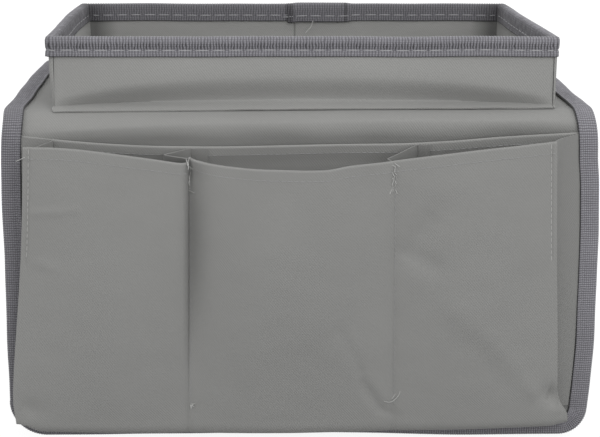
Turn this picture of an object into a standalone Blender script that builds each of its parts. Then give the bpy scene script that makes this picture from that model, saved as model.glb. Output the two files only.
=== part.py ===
"""Sofa armrest organizer: a fabric saddle with a tray on top and three pockets in front.

Metres, +Z up, pockets facing -Y. The origin is the middle of the saddle's flat underside,
where it lies on the armrest. Each sewn sheet, board and tape is an object of its own.
"""
import math

import bpy
from mathutils import Vector

# Sheets: thickness of each layer and the clearance kept between layers
CLOTH = 0.0008
LINING = 0.0008
BOARD = 0.0015
TAPE = 0.0008
GAP = 0.0003
SEAM_GAP = 0.0006

# Saddle: outside sizes over the binding tape
WIDTH = 0.330
TOP_DEPTH = 0.202
FRONT_DROP = 0.187
BACK_DROP = 0.187
FRONT_FOLD_RADIUS = 0.014
BACK_FOLD_RADIUS = 0.008
CORNER_RADIUS = 0.016
BOARD_INSET = 0.004
TAPE_LEG = 0.011

# Tray: how far its walls stand in from the saddle's sides and flaps, its height, how far its walls
# lean out at the rim and how far the whole tray sways back there
TRAY_LEFT_MARGIN = 0.0274
TRAY_RIGHT_MARGIN = 0.0245
TRAY_FLAP_MARGIN = 0.016
TRAY_HEIGHT = 0.0395
TRAY_FLARE = 0.0018
TRAY_SWAY = 0.0015
TRAY_CORNER_RADIUS = 0.0045
TRAY_CORNER_LAP = 0.001
TRAY_WALL_BOW = 0.0020
TRAY_TAPE_LAP = 0.033
TRAY_TAPE_END = 0.002

# Pockets: sheet against the flap, front panel, pleated gussets and dividers
PLEAT_WEB = 0.031
FOLD_SHARE = 0.45
FOLD_EASE_SHARE = 0.35
SEAM_ALLOWANCE = 0.004
DIVIDER_FLANGE = 0.011
HEM_SAG = 0.0040
HEM_STAND_OFF = 0.0016
POCKET_FLOOR_RISE = 0.011
POCKET_FLOOR_SAG = 0.0085
POCKET_LOW_DEPTH = 0.0115
POCKET_LOW_BULGE = 0.0020
POCKET_MID_BULGE = 0.0030
CORNER_TUCK = 0.010

# Pocket panel: how far its edges lie in from the saddle's sides, at its mouth and its floor,
# and where the two dividers are sewn to it, from the middle
LEFT_EDGE_INSETS = (0.0156, 0.0020)
RIGHT_EDGE_INSETS = (0.0290, 0.0150)
LEFT_DIVIDER = (-0.0627, -0.0643)
RIGHT_DIVIDER = (0.0470, 0.0471)
LEFT_DIVIDER_REAR = -0.0652
RIGHT_DIVIDER_REAR = 0.0620

# How far the mouth stands off the flap at those four places, and how far it sags below the top
MOUTH_DEPTHS = (0.0200, 0.0220, 0.0265, 0.0230)
MOUTH_DROPS = (0.0145, 0.0225, 0.0215, 0.0130)
MOUTH_BULGES = (0.0030, 0.0085, 0.0025)
MOUTH_SAGS = (0.0020, 0.0038, 0.0005)

# Finishes: linear colour and roughness
TWILL_COLOUR = (0.235, 0.235, 0.228)
LINING_COLOUR = (0.150, 0.150, 0.148)
TAPE_COLOUR = (0.160, 0.158, 0.168)
BOARD_COLOUR = (0.420, 0.330, 0.230)
CLOTH_ROUGHNESS = 0.85
BOARD_ROUGHNESS = 0.9

# Steps of the curved surfaces
ARC_STEPS = 8
CORNER_STEPS = 6
WALL_COLUMNS = 8
WALL_LEVELS = 5
POCKET_COLUMNS = 11
POCKET_ROWS = 9
FLOOR_STEPS = 6
PLEAT_ROWS = 8
FOLD_STEPS = 4
FOLD_TRIALS = 24

# Worked out from the sizes above
WRAPPED = CLOTH + GAP + BOARD
STACK = WRAPPED + GAP + LINING
TOP_Z = STACK
EDGE_X = WIDTH / 2 - TAPE - GAP
TAPE_INNER_X = WIDTH / 2 - TAPE_LEG
LINING_X = TAPE_INNER_X - GAP
FRONT_FACE = -TOP_DEPTH / 2
BACK_FACE = TOP_DEPTH / 2
FRONT_AXIS = Vector((0, FRONT_FACE + FRONT_FOLD_RADIUS, TOP_Z - FRONT_FOLD_RADIUS))
BACK_AXIS = Vector((0, BACK_FACE - BACK_FOLD_RADIUS, TOP_Z - BACK_FOLD_RADIUS))
FRONT_BOTTOM = TOP_Z - FRONT_DROP + TAPE + GAP
BACK_BOTTOM = TOP_Z - BACK_DROP + TAPE + GAP
BACKING_OFFSET = GAP + CLOTH
FLOOR_Z = TOP_Z - FRONT_DROP + POCKET_FLOOR_RISE + TAPE
SEAM_OFFSET = BACKING_OFFSET + GAP + TAPE + SEAM_GAP + CLOTH / 2
POCKET_AXIS = Vector((0, FRONT_FACE - SEAM_OFFSET, FLOOR_Z))
LEFT_EDGE = tuple(inset - WIDTH / 2 for inset in LEFT_EDGE_INSETS)
RIGHT_EDGE = tuple(WIDTH / 2 - inset for inset in RIGHT_EDGE_INSETS)
TRAY_WIDTH = WIDTH - TRAY_LEFT_MARGIN - TRAY_RIGHT_MARGIN
TRAY_MIDDLE_X = (TRAY_LEFT_MARGIN - TRAY_RIGHT_MARGIN) / 2
TRAY_DEPTH = TOP_DEPTH - 2 * TRAY_FLAP_MARGIN
TRAY_BASE = TOP_Z + GAP
TRAY_TOP = TOP_Z + TRAY_HEIGHT - TAPE - GAP


def clear_scene():
    for obj in list(bpy.data.objects):
        bpy.data.objects.remove(obj, do_unlink=True)


def new_collection(name):
    collection = bpy.data.collections.new(name)
    bpy.context.scene.collection.children.link(collection)
    return collection


def make_material(name, colour, roughness):
    material = bpy.data.materials.new(name)
    material.use_nodes = True
    shader = material.node_tree.nodes["Principled BSDF"]
    shader.inputs["Base Color"].default_value = (*colour, 1.0)
    shader.inputs["Roughness"].default_value = roughness
    shader.inputs["Metallic"].default_value = 0.0
    return material


def twill(name):
    return make_material(name + "_twill", TWILL_COLOUR, CLOTH_ROUGHNESS)


def lining(name):
    return make_material(name + "_lining", LINING_COLOUR, CLOTH_ROUGHNESS)


def tape(name):
    return make_material(name + "_tape", TAPE_COLOUR, CLOTH_ROUGHNESS)


def board(name):
    return make_material(name + "_board", BOARD_COLOUR, BOARD_ROUGHNESS)


def add_axis(collection, name, place, parent=None):
    """An empty on a joint's axis, which carries the pieces that turn there."""
    axis = bpy.data.objects.new(name, None)
    axis.location = place
    collection.objects.link(axis)
    bpy.context.view_layer.update()
    hang_on(axis, parent)
    return axis


def hang_on(obj, parent):
    if parent is not None:
        obj.parent = parent
        obj.matrix_parent_inverse = parent.matrix_world.inverted()
        bpy.context.view_layer.update()


def keep(collection, obj, material, parent):
    collection.objects.link(obj)
    obj.data.materials.append(material)
    hang_on(obj, parent)
    return obj


def sheet(collection, name, rows, thickness, material, parent=None):
    """A sewn sheet: its middle surface, given as rows of points, made solid."""
    count = len(rows[0])
    points = [point for row in rows for point in row]
    faces = []
    for i in range(len(rows) - 1):
        for j in range(count - 1):
            here, there = i * count + j, (i + 1) * count + j
            faces.append((here, here + 1, there + 1, there))
    mesh = bpy.data.meshes.new(name)
    mesh.from_pydata(points, [], faces)
    mesh.update()
    obj = bpy.data.objects.new(name, mesh)
    solid = obj.modifiers.new("thickness", "SOLIDIFY")
    solid.thickness = thickness
    solid.offset = 0.0
    solid.use_even_offset = True
    return keep(collection, obj, material, parent)


def panel(collection, name, outline, middle, thickness, material, parent=None, standing=False):
    """A flat cut piece: its outline as a curve, extruded to its thickness.

    The outline is (x, up) when the piece stands and (x, y) when it lies.
    """
    curve = bpy.data.curves.new(name, "CURVE")
    curve.dimensions = "2D"
    curve.fill_mode = "BOTH"
    curve.extrude = thickness / 2
    spline = curve.splines.new("POLY")
    spline.points.add(len(outline) - 1)
    for point, (x, up) in zip(spline.points, outline):
        point.co = (x, up, 0, 1)
    spline.use_cyclic_u = True
    obj = bpy.data.objects.new(name, curve)
    if standing:
        obj.rotation_euler = (math.pi / 2, 0, 0)
        obj.location = (0, middle, 0)
    else:
        obj.location = (0, 0, middle)
    keep(collection, obj, material, None)
    bpy.context.view_layer.update()
    hang_on(obj, parent)
    return obj


def arc(centre_x, centre_y, radius, start, end, steps):
    points = []
    for k in range(steps + 1):
        angle = math.radians(start + (end - start) * k / steps)
        points.append((centre_x + radius * math.cos(angle), centre_y + radius * math.sin(angle)))
    return points


def box_outline(half_width, low, high):
    return [(-half_width, low), (half_width, low), (half_width, high), (-half_width, high)]


def flap_outline(half_width, bottom, top, radius):
    """A flap, square at its fold and rounded at its two bottom corners."""
    middle = half_width - radius
    left = arc(-middle, bottom + radius, radius, 180, 270, CORNER_STEPS)
    right = arc(middle, bottom + radius, radius, 270, 360, CORNER_STEPS)
    return left + right + [(half_width, top), (-half_width, top)]


def tape_section(outer_offset, stack, inner_offset=GAP):
    """A folded tape seen end on, as (in from the edge, out from the cover) pairs.

    The edge it wraps is at zero inward, its near face at zero out and its far face at -stack.
    """
    half = TAPE / 2
    outer = outer_offset + half
    inner = -stack - inner_offset - half
    wrap = -GAP - half
    reach = TAPE_LEG - TAPE - GAP
    round_share = math.sqrt(0.5)
    return [(reach, outer), (reach / 2, outer), (0, outer),
            (wrap * round_share, outer * round_share), (wrap, 0), (wrap, -stack),
            (wrap * round_share, mix(-stack, inner, round_share)), (0, inner),
            (reach / 2, inner), (reach, inner)]


def smooth(share):
    share = min(max(share, 0.0), 1.0)
    return share * share * (3 - 2 * share)


def mix(low, high, share):
    return low + (high - low) * share


def add_saddle_top(collection):
    """The flat top: the lining ends inside the side tapes, level with their inner legs."""
    front = FRONT_AXIS.y + GAP / 2
    back = BACK_AXIS.y - GAP / 2
    board_z = LINING + GAP + BOARD / 2
    lies = box_outline(EDGE_X, front, back)
    under = box_outline(LINING_X, front, back)
    inner = box_outline(EDGE_X - BOARD_INSET, front + BOARD_INSET, back - BOARD_INSET)
    panel(collection, "top_cover", lies, STACK - CLOTH / 2, CLOTH, twill("top_cover"))
    panel(collection, "top_board", inner, board_z, BOARD, board("top_board"))
    panel(collection, "top_lining", under, LINING / 2, LINING, lining("top_lining"))
    for side, name in ((-1, "top_binding_left"), (1, "top_binding_right")):
        section = tape_section(GAP, WRAPPED)
        rows = [[Vector((side * (EDGE_X - inward), y, TOP_Z + out)) for inward, out in section]
                for y in (front, back)]
        sheet(collection, name, rows, TAPE, tape(name))


def fold_angle(step, radius):
    """Angle along a fold, from level to hanging, half a clearance short at both ends."""
    trim = GAP / 2 / radius
    return mix(trim, math.pi / 2 - trim, step / ARC_STEPS)


def fold_point(axis, facing, x, radius, angle):
    return Vector((x, axis.y + facing * radius * math.sin(angle), axis.z + radius * math.cos(angle)))


def add_fold(collection, name, axis, facing, radius, hem_offset):
    """The soft bend between the saddle's top and a flap: cover, lining and two bound edges."""
    cover_rows, lining_rows, left_rows, right_rows = [], [], [], []
    lining_radius = radius - STACK + LINING / 2
    for k in range(ARC_STEPS + 1):
        angle = fold_angle(k, radius)
        hanging = smooth(k / ARC_STEPS)
        cover_rows.append([fold_point(axis, facing, x, radius - CLOTH / 2, angle)
                           for x in (-EDGE_X, EDGE_X)])
        lining_rows.append([fold_point(axis, facing, x, lining_radius, angle)
                            for x in (-LINING_X, LINING_X)])
        section = tape_section(mix(GAP, hem_offset, hanging), WRAPPED)
        for side, rows in ((-1, left_rows), (1, right_rows)):
            rows.append([fold_point(axis, facing, side * (EDGE_X - inward), radius + out, angle)
                         for inward, out in section])
    cover, under = name + "_cover", name + "_lining"
    left, right = name + "_binding_left", name + "_binding_right"
    sheet(collection, cover, cover_rows, CLOTH, twill(cover))
    sheet(collection, under, lining_rows, LINING, lining(under))
    sheet(collection, left, left_rows, TAPE, tape(left))
    sheet(collection, right, right_rows, TAPE, tape(right))


def flap_path(half_width, bottom, top, radius):
    """The bound edge of a flap, down its left side, along its bottom and up its right side.

    Each stop is (x, z, direction pointing in from the edge).
    """
    middle = half_width - radius
    stops = [(-half_width, top, (1, 0))]
    for centre, start in ((-middle, 180), (middle, 270)):
        for k in range(CORNER_STEPS + 1):
            angle = math.radians(start + 90 * k / CORNER_STEPS)
            x = centre + radius * math.cos(angle)
            z = bottom + radius + radius * math.sin(angle)
            stops.append((x, z, (-math.cos(angle), -math.sin(angle))))
    stops.append((half_width, top, (-1, 0)))
    return stops


def add_flap(collection, name, axis, facing, face, bottom, hem_offset, hinge):
    """A hanging flap: cover, stiffener board and lining, bound round its three free edges."""
    top = axis.z - GAP / 2
    radius = CORNER_RADIUS - TAPE - GAP
    whole = flap_outline(EDGE_X, bottom, top, radius)
    inner = flap_outline(EDGE_X - BOARD_INSET, bottom + BOARD_INSET, top - BOARD_INSET,
                         radius - BOARD_INSET)
    lining_inset = EDGE_X - LINING_X
    under = flap_outline(LINING_X, bottom + lining_inset, top, radius - lining_inset)
    cover_y = face - facing * CLOTH / 2
    board_y = face - facing * (CLOTH + GAP + BOARD / 2)
    lining_y = face - facing * (STACK - LINING / 2)
    panel(collection, name + "_cover", whole, cover_y, CLOTH, twill(name + "_cover"), hinge, True)
    panel(collection, name + "_board", inner, board_y, BOARD, board(name + "_board"), hinge, True)
    panel(collection, name + "_lining", under, lining_y, LINING, lining(name + "_lining"), hinge,
          True)
    rows = []
    for x, z, (in_x, in_z) in flap_path(EDGE_X, bottom, top, radius):
        rows.append([Vector((x + in_x * inward, face + facing * out, z + in_z * inward))
                     for inward, out in tape_section(hem_offset, WRAPPED)])
    binding = name + "_binding"
    sheet(collection, binding, rows, TAPE, tape(binding), hinge)


def tray_rise(z):
    """The share of the tray's height that a height has reached."""
    return min((z - TRAY_BASE) / (TRAY_TOP - TRAY_BASE), 1.0)


def tray_lean(z):
    """How far a tray wall leans out at a height over its base."""
    return TRAY_FLARE * tray_rise(z)


def tray_place(x, y, z):
    """A point of the tray from its own middle: the whole tray sways back towards its rim."""
    return Vector((TRAY_MIDDLE_X + x, y + TRAY_SWAY * tray_rise(z), z))


def wall_bow(along_share, z):
    """A long wall's slack: it curves in most at its middle and low down, below the rim tape."""
    across = 1 - abs(2 * along_share - 1) ** 3
    rise = (z - TRAY_BASE) / (TRAY_TOP - TAPE_LEG - TRAY_BASE)
    return TRAY_WALL_BOW * across * math.sin(math.pi * min(rise, 1.0))


def add_tray_walls(collection):
    """Four walls, each an outer panel, a stiffener board and an inner panel."""
    half_x, half_y = TRAY_WIDTH / 2, TRAY_DEPTH / 2
    long_end = half_x - TRAY_CORNER_RADIUS - TRAY_CORNER_LAP
    side_end = half_y - TRAY_CORNER_RADIUS
    for name, facing in (("tray_front", -1), ("tray_back", 1)):
        for layer, depth in (("_outer", CLOTH / 2), ("_inner", STACK - CLOTH / 2)):
            rows = long_wall_rows(facing, half_y - depth, long_end)
            sheet(collection, name + layer, rows, CLOTH, twill(name + layer))
        rows = long_wall_rows(facing, half_y - CLOTH - GAP - BOARD / 2, long_end)
        sheet(collection, name + "_board", rows, BOARD, board(name + "_board"))
    for name, facing in (("tray_left", -1), ("tray_right", 1)):
        for layer, depth in (("_outer", CLOTH / 2), ("_inner", STACK - CLOTH / 2)):
            rows = side_wall_rows(facing, half_x, half_y, depth, long_end + GAP)
            sheet(collection, name + layer, rows, CLOTH, twill(name + layer))
        depth = CLOTH + GAP + BOARD / 2
        rows = [[tray_place(facing * (half_x - depth + tray_lean(z)), y, z)
                 for y in (-side_end, side_end)] for z in wall_levels()]
        sheet(collection, name + "_board", rows, BOARD, board(name + "_board"))


def wall_levels():
    return [mix(TRAY_BASE, TRAY_TOP, k / WALL_LEVELS) for k in range(WALL_LEVELS + 1)]


def long_wall_rows(facing, reach_y, long_end):
    rows = []
    for z in wall_levels():
        row = []
        for k in range(WALL_COLUMNS + 1):
            share = k / WALL_COLUMNS
            y = facing * (reach_y + tray_lean(z) - wall_bow(share, z))
            row.append(tray_place(mix(-long_end, long_end, share), y, z))
        rows.append(row)
    return rows


def side_wall_rows(facing, half_x, half_y, depth, seam):
    """A side wall's cloth turns both corners and ends at its seams on the long walls."""
    middle_x, middle_y = half_x - TRAY_CORNER_RADIUS, half_y - TRAY_CORNER_RADIUS
    rows = []
    for z in wall_levels():
        radius = TRAY_CORNER_RADIUS - depth + tray_lean(z)
        profile = [(seam, -middle_y - radius)]
        profile += arc(middle_x, -middle_y, radius, 270, 360, CORNER_STEPS)
        profile += arc(middle_x, middle_y, radius, 0, 90, CORNER_STEPS)
        profile.append((seam, middle_y + radius))
        rows.append([tray_place(facing * x, y, z) for x, y in profile])
    return rows


def add_tray_binding(collection):
    """One tape round the rim, whose end laps over its start on the back wall."""
    half_x, half_y = TRAY_WIDTH / 2 + TRAY_FLARE, TRAY_DEPTH / 2 + TRAY_FLARE
    radius = TRAY_CORNER_RADIUS + TRAY_FLARE
    lift = TAPE + GAP
    end, start = TRAY_TAPE_END, TRAY_TAPE_END + TRAY_TAPE_LAP
    back = (0, -1)
    path = [((start, half_y), back, 0.0)]
    path += [(place, inward, 0.0) for place, inward in rim_corners(half_x, half_y, radius)]
    path += [((start + lift + TAPE_LEG / 2, half_y), back, 0.0),
             ((start + lift, half_y), back, lift), ((end, half_y), back, lift)]
    rows = []
    for (x, y), (in_x, in_y), over in path:
        row = []
        for point, (down, out) in enumerate(tape_section(GAP + over, STACK, GAP + over)):
            rise = over if down < 0 or point in (2, 7) else 0.0
            z = TRAY_TOP - down + rise
            push = out - TRAY_FLARE + tray_lean(z)
            row.append(tray_place(x - in_x * push, y - in_y * push, z))
        rows.append(row)
    sheet(collection, "tray_binding", rows, TAPE, tape("tray_binding"))


def rim_corners(half_x, half_y, radius):
    """The rim seen from above, corner by corner, from the back left one round to the back right.

    Each stop is (place, direction pointing in from the rim).
    """
    stops = []
    for side_x, side_y, start in ((-1, 1, 90), (-1, -1, 180), (1, -1, 270), (1, 1, 0)):
        for k in range(CORNER_STEPS + 1):
            angle = math.radians(start + 90 * k / CORNER_STEPS)
            place = (side_x * (half_x - radius) + radius * math.cos(angle),
                     side_y * (half_y - radius) + radius * math.sin(angle))
            stops.append((place, (-math.cos(angle), -math.sin(angle))))
    return stops


def anchors_at(down):
    """The panel's two edges and two divider seams, at a share of the way down to its floor."""
    places = (LEFT_EDGE, LEFT_DIVIDER, RIGHT_DIVIDER, RIGHT_EDGE)
    return [mix(mouth, floor, down) for mouth, floor in places]


def belly(across):
    return math.sin(math.pi * across)


def mouth_drop(pocket, across):
    straight = mix(MOUTH_DROPS[pocket], MOUTH_DROPS[pocket + 1], across)
    return straight + MOUTH_SAGS[pocket] * belly(across)


def panel_depth(pocket, across, down):
    """How far the front panel stands off the flap's face, to the middle of its cloth."""
    mouth = mix(MOUTH_DEPTHS[pocket], MOUTH_DEPTHS[pocket + 1], across)
    seams = mix(mouth, POCKET_LOW_DEPTH, down)
    bulge = mix(MOUTH_BULGES[pocket], POCKET_LOW_BULGE, down)
    bulge += POCKET_MID_BULGE * math.sin(math.pi * down)
    return seams + bulge * belly(across)


def panel_point(pocket, across, down):
    anchors = anchors_at(down)
    x = mix(anchors[pocket], anchors[pocket + 1], across)
    z = mix(TOP_Z - mouth_drop(pocket, across), FLOOR_Z, down)
    return Vector((x, FRONT_FACE - panel_depth(pocket, across, down), z))


def floor_sag(x):
    """The panel's bottom hangs lowest in the middle and is tucked up at its two corners."""
    span = (LEFT_EDGE[1], RIGHT_EDGE[1])
    middle, half = (span[0] + span[1]) / 2, (span[1] - span[0]) / 2
    reach = abs(x - middle) / half
    tuck = smooth((reach * half - half + CORNER_TUCK) / CORNER_TUCK)
    return POCKET_FLOOR_SAG * (1 - reach ** 2 / 3) * (1 - tuck / 3)


def add_pocket_panel(collection, hinge):
    """The pockets' one front sheet: it bellies out of each pocket and turns under at its foot."""
    columns = []
    for pocket in range(3):
        first = 0 if pocket == 0 else 1
        for k in range(first, POCKET_COLUMNS + 1):
            columns.append((pocket, k / POCKET_COLUMNS))
    rows = []
    for i in range(POCKET_ROWS + 1):
        down = i / POCKET_ROWS
        rows.append([panel_point(pocket, across, down) for pocket, across in columns])
    foot = rows[-1]
    for k in range(1, FLOOR_STEPS + 1):
        angle = math.pi * k / FLOOR_STEPS
        row = []
        for point in foot:
            reach = (POCKET_AXIS.y - point.y) / 2
            y = point.y + reach * (1 - math.cos(angle))
            z = FLOOR_Z - floor_sag(point.x) * math.sin(angle)
            row.append(Vector((point.x, y, z)))
        rows.append(row)
    sheet(collection, "pocket_panel", rows, CLOTH, twill("pocket_panel"), hinge)


def add_pocket_backing(collection, hinge):
    """The sheet that closes the pockets behind, bound with the flap at its sides and bottom."""
    columns, levels = 16, 5
    middle = BACKING_OFFSET - CLOTH / 2
    hem = FRONT_AXIS.z - GAP
    bottom = FRONT_BOTTOM
    rows = []
    for i in range(levels + 1):
        down = i / levels
        row = []
        for k in range(columns + 1):
            x = mix(-EDGE_X, EDGE_X, k / columns)
            inside = max(0.0, 1 - (x / TAPE_INNER_X) ** 2)
            top = hem - HEM_SAG * math.sqrt(inside) if inside else hem
            stand_off = HEM_STAND_OFF * inside * (1 - down) ** 4
            corner = corner_rise(abs(x)) if down == 1 else 0.0
            row.append(Vector((x, FRONT_FACE - middle - stand_off, mix(top, bottom, down) + corner)))
        rows.append(row)
    sheet(collection, "pocket_backing", rows, CLOTH, twill("pocket_backing"), hinge)


def corner_rise(x):
    """How far the flap's rounded corner has risen from its bottom edge at x."""
    radius = CORNER_RADIUS - TAPE - GAP
    over = x - (EDGE_X - radius)
    if over <= 0:
        return 0.0
    return radius - math.sqrt(max(0.0, radius ** 2 - over ** 2))


def pleat_fold(rear, front, web, side):
    """Where a pleat folds: to one side, so that its two legs add up to the cloth's width."""
    middle = rear.lerp(front, FOLD_SHARE)
    near, far = 0.0, web
    for _ in range(FOLD_TRIALS):
        reach = (near + far) / 2
        spot = Vector((middle.x + side * reach, middle.y))
        if (spot - rear).length + (front - spot).length > web:
            far = reach
        else:
            near = reach
    return Vector((middle.x + side * near, middle.y))


def round_fold(rear, fold, front):
    """A pleat's plan from its rear edge to its front edge, with the fold eased."""
    before = fold.lerp(rear, FOLD_EASE_SHARE)
    after = fold.lerp(front, FOLD_EASE_SHARE)
    plan = [rear]
    for k in range(FOLD_STEPS + 1):
        share = k / FOLD_STEPS
        plan.append(before.lerp(fold, share).lerp(fold.lerp(after, share), share))
    plan.append(front)
    return plan


def add_pleat(collection, name, pocket, across, rear_x, fold_side, flange, hinge):
    """A gusset or divider: sewn flat to the backing, folded once, sewn behind the panel."""
    rear_out = BACKING_OFFSET + GAP + CLOTH / 2
    behind = CLOTH + GAP
    rows = []
    for i in range(PLEAT_ROWS + 1):
        down = i / PLEAT_ROWS * (1 - SEAM_ALLOWANCE / FRONT_DROP)
        edge = panel_point(pocket, across, down)
        inner = 1 if across == 0 else -1
        step = SEAM_ALLOWANCE / (anchors_at(down)[pocket + 1] - anchors_at(down)[pocket])
        lap = panel_point(pocket, across + inner * step, down)
        stand = HEM_STAND_OFF * max(0.0, 1 - (rear_x / TAPE_INNER_X) ** 2) * (1 - down) ** 4
        rear_y = FRONT_FACE - rear_out - stand
        rear_z = mix(rear_top(rear_x), FLOOR_Z, down)
        sewn = lap if flange == 0 else edge
        tail = edge if flange == 0 else lap
        front = Vector((sewn.x, sewn.y + behind))
        rear = Vector((rear_x, rear_y))
        fold = pleat_fold(rear, front, PLEAT_WEB, fold_side)
        plan = round_fold(rear, fold, front)
        plan.append(Vector((tail.x, tail.y + behind)))
        if flange:
            plan.insert(0, Vector((rear_x + flange, rear_y)))
        front_z = sewn.z - GAP
        depth = abs(front.y - rear_y)
        row = []
        for spot in plan:
            forward = min(max(abs(spot.y - rear_y) / depth, 0.0), 1.0)
            row.append(Vector((spot.x, spot.y, mix(rear_z, front_z, forward))))
        rows.append(row)
    sheet(collection, name, rows, CLOTH, twill(name), hinge)


def rear_top(x):
    inside = max(0.0, 1 - (x / TAPE_INNER_X) ** 2)
    return FRONT_AXIS.z - GAP - HEM_SAG * math.sqrt(inside) - SEAM_ALLOWANCE / 2


def add_pockets(collection, flap_hinge, pocket_hinge):
    add_pocket_backing(collection, flap_hinge)
    add_pocket_panel(collection, pocket_hinge)
    side_x = TAPE_INNER_X - GAP
    add_pleat(collection, "gusset_left", 0, 0, -side_x, 1, 0, pocket_hinge)
    add_pleat(collection, "gusset_right", 2, 1, side_x, -1, 0, pocket_hinge)
    add_pleat(collection, "divider_left", 1, 0, LEFT_DIVIDER_REAR, -1, DIVIDER_FLANGE, pocket_hinge)
    add_pleat(collection, "divider_right", 2, 0, RIGHT_DIVIDER_REAR, -1, DIVIDER_FLANGE, pocket_hinge)


def main():
    clear_scene()
    parts = new_collection("sofa_armrest_organizer")
    front_hinge = add_axis(parts, "front_fold_axis", FRONT_AXIS)
    back_hinge = add_axis(parts, "back_fold_axis", BACK_AXIS)
    pocket_hinge = add_axis(parts, "pocket_mouth_axis", POCKET_AXIS, front_hinge)
    add_saddle_top(parts)
    add_tray_walls(parts)
    add_tray_binding(parts)
    add_fold(parts, "front_fold", FRONT_AXIS, -1, FRONT_FOLD_RADIUS, BACKING_OFFSET + GAP)
    add_fold(parts, "back_fold", BACK_AXIS, 1, BACK_FOLD_RADIUS, GAP)
    add_flap(parts, "front", FRONT_AXIS, -1, FRONT_FACE, FRONT_BOTTOM, BACKING_OFFSET + GAP,
             front_hinge)
    add_flap(parts, "back", BACK_AXIS, 1, BACK_FACE, BACK_BOTTOM, GAP, back_hinge)
    add_pockets(parts, front_hinge, pocket_hinge)


main()
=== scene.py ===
"""Dresses the sofa armrest organizer's solids in cloth, binding tape and thread."""

import math
import random

import bpy
from mathutils import Matrix, Vector, noise


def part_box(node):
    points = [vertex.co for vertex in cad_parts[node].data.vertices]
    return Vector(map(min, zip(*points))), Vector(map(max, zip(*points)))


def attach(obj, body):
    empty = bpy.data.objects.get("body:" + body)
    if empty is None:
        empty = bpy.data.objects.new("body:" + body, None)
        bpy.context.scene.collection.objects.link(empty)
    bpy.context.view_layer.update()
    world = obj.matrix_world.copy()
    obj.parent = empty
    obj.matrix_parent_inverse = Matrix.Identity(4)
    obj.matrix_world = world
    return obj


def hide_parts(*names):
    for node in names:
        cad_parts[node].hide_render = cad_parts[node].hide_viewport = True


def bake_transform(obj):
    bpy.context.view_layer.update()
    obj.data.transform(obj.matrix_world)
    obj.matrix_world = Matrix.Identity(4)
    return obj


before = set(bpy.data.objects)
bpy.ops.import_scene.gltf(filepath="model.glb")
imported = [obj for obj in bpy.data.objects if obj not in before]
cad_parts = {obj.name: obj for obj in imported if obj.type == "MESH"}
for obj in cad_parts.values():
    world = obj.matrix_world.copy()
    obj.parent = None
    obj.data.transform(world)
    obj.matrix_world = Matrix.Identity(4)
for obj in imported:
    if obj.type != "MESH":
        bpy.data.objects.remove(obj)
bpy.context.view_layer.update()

bl_info = {
    "name": "Sofa Armrest Organizer",
    "version": (1, 0, 0),
    "blender": (4, 5, 0),
    "location": "3D View > Sidebar > Organizer",
    "description": "Makes a fabric armrest organizer with a tray and three pockets",
    "category": "Add Mesh",
}

MM = 0.001

# The solids' own sizes, in metres: layers, edges and the two folds
CLOTH = 0.0008
TAPE = 0.0008
GAP = 0.0003
BOARD = 0.0015
LINING = 0.0008
WRAPPED = CLOTH + GAP + BOARD
STACK = WRAPPED + GAP + LINING
TOP_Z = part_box("top_cover")[1].z
EDGE_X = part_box("top_cover")[1].x
LINING_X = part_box("top_lining")[1].x
TAPE_REACH = EDGE_X - LINING_X - GAP
CORNER_RADIUS = 0.0149
LEFT_CORNER_RADIUS = 0.0195
BACKING_OFFSET = GAP + CLOTH
SPLIT_Y = 0.0815

# The tray's own sizes: its walls at their foot, how far they lean out at the rim, how far the
# whole tray sways back there, and where its outer cloth is seamed and turns its corners
TRAY_LEAN = 0.0018
TRAY_SWAY = 0.0015
TRAY_BASE = TOP_Z + GAP
TRAY_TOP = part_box("tray_front_outer")[1].z
RIM_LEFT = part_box("tray_left_outer")[0].x
RIM_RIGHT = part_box("tray_right_outer")[1].x
TRAY_MIDDLE_X = (RIM_LEFT + RIM_RIGHT) / 2
TRAY_HALF_X = (RIM_RIGHT - RIM_LEFT) / 2 - TRAY_LEAN
TRAY_HALF_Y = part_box("tray_back_outer")[1].y - TRAY_LEAN - TRAY_SWAY
TRAY_CORNER = 0.0015
RIM_CORNER = 0.0024
INNER_CORNER = 0.0006
SEAMS = {-1: -0.1361, 1: 0.1404}
CORNER_FACES = {-1: -0.1387, 1: 0.1421}
RIM_LEG = TAPE_REACH - 0.0003
# The rim tape's start and end on the back wall, and the back lining's seam below them
RIM_LAP = (0.035, -0.003)
BACK_SEAM_X = RIM_LAP[1] + 0.0045
# Where the stitches lie in from the folded tape's edge, and how deep they sit in it
EDGE_TAPE_SEAM = TAPE_REACH * 0.76
RIM_TAPE_SEAM = TAPE_REACH * 0.60
STITCH_BITE = 0.0001
# How far the lip of the tray's seam allowance reaches out at the back
BACK_LIP = 0.0022
# The place across the front wall at which its cloth meets the end walls' cloth
FRONT_END_SHARE = 0.985

# The pockets' own sizes
FLOOR_Z = -0.1715
POCKET_AXIS_Y = -0.1042
# How far the panel and the backing reach down from their top edges, roughly, and their hems
PANEL_DROP = 0.155
BACKING_DROP = 0.172
HEM_TURN = 0.00075
HEM_DEPTH = 0.0066
BACKING_HEM = 0.0065
BACKING_HEM_STAND = 0.0008
PLEAT_EASE = 0.12
# How many steps each large cloth has across, and how much a frayed thread leans down
CLOTH_COLUMNS = 120
FRAY_DROP = 0.5


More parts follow.
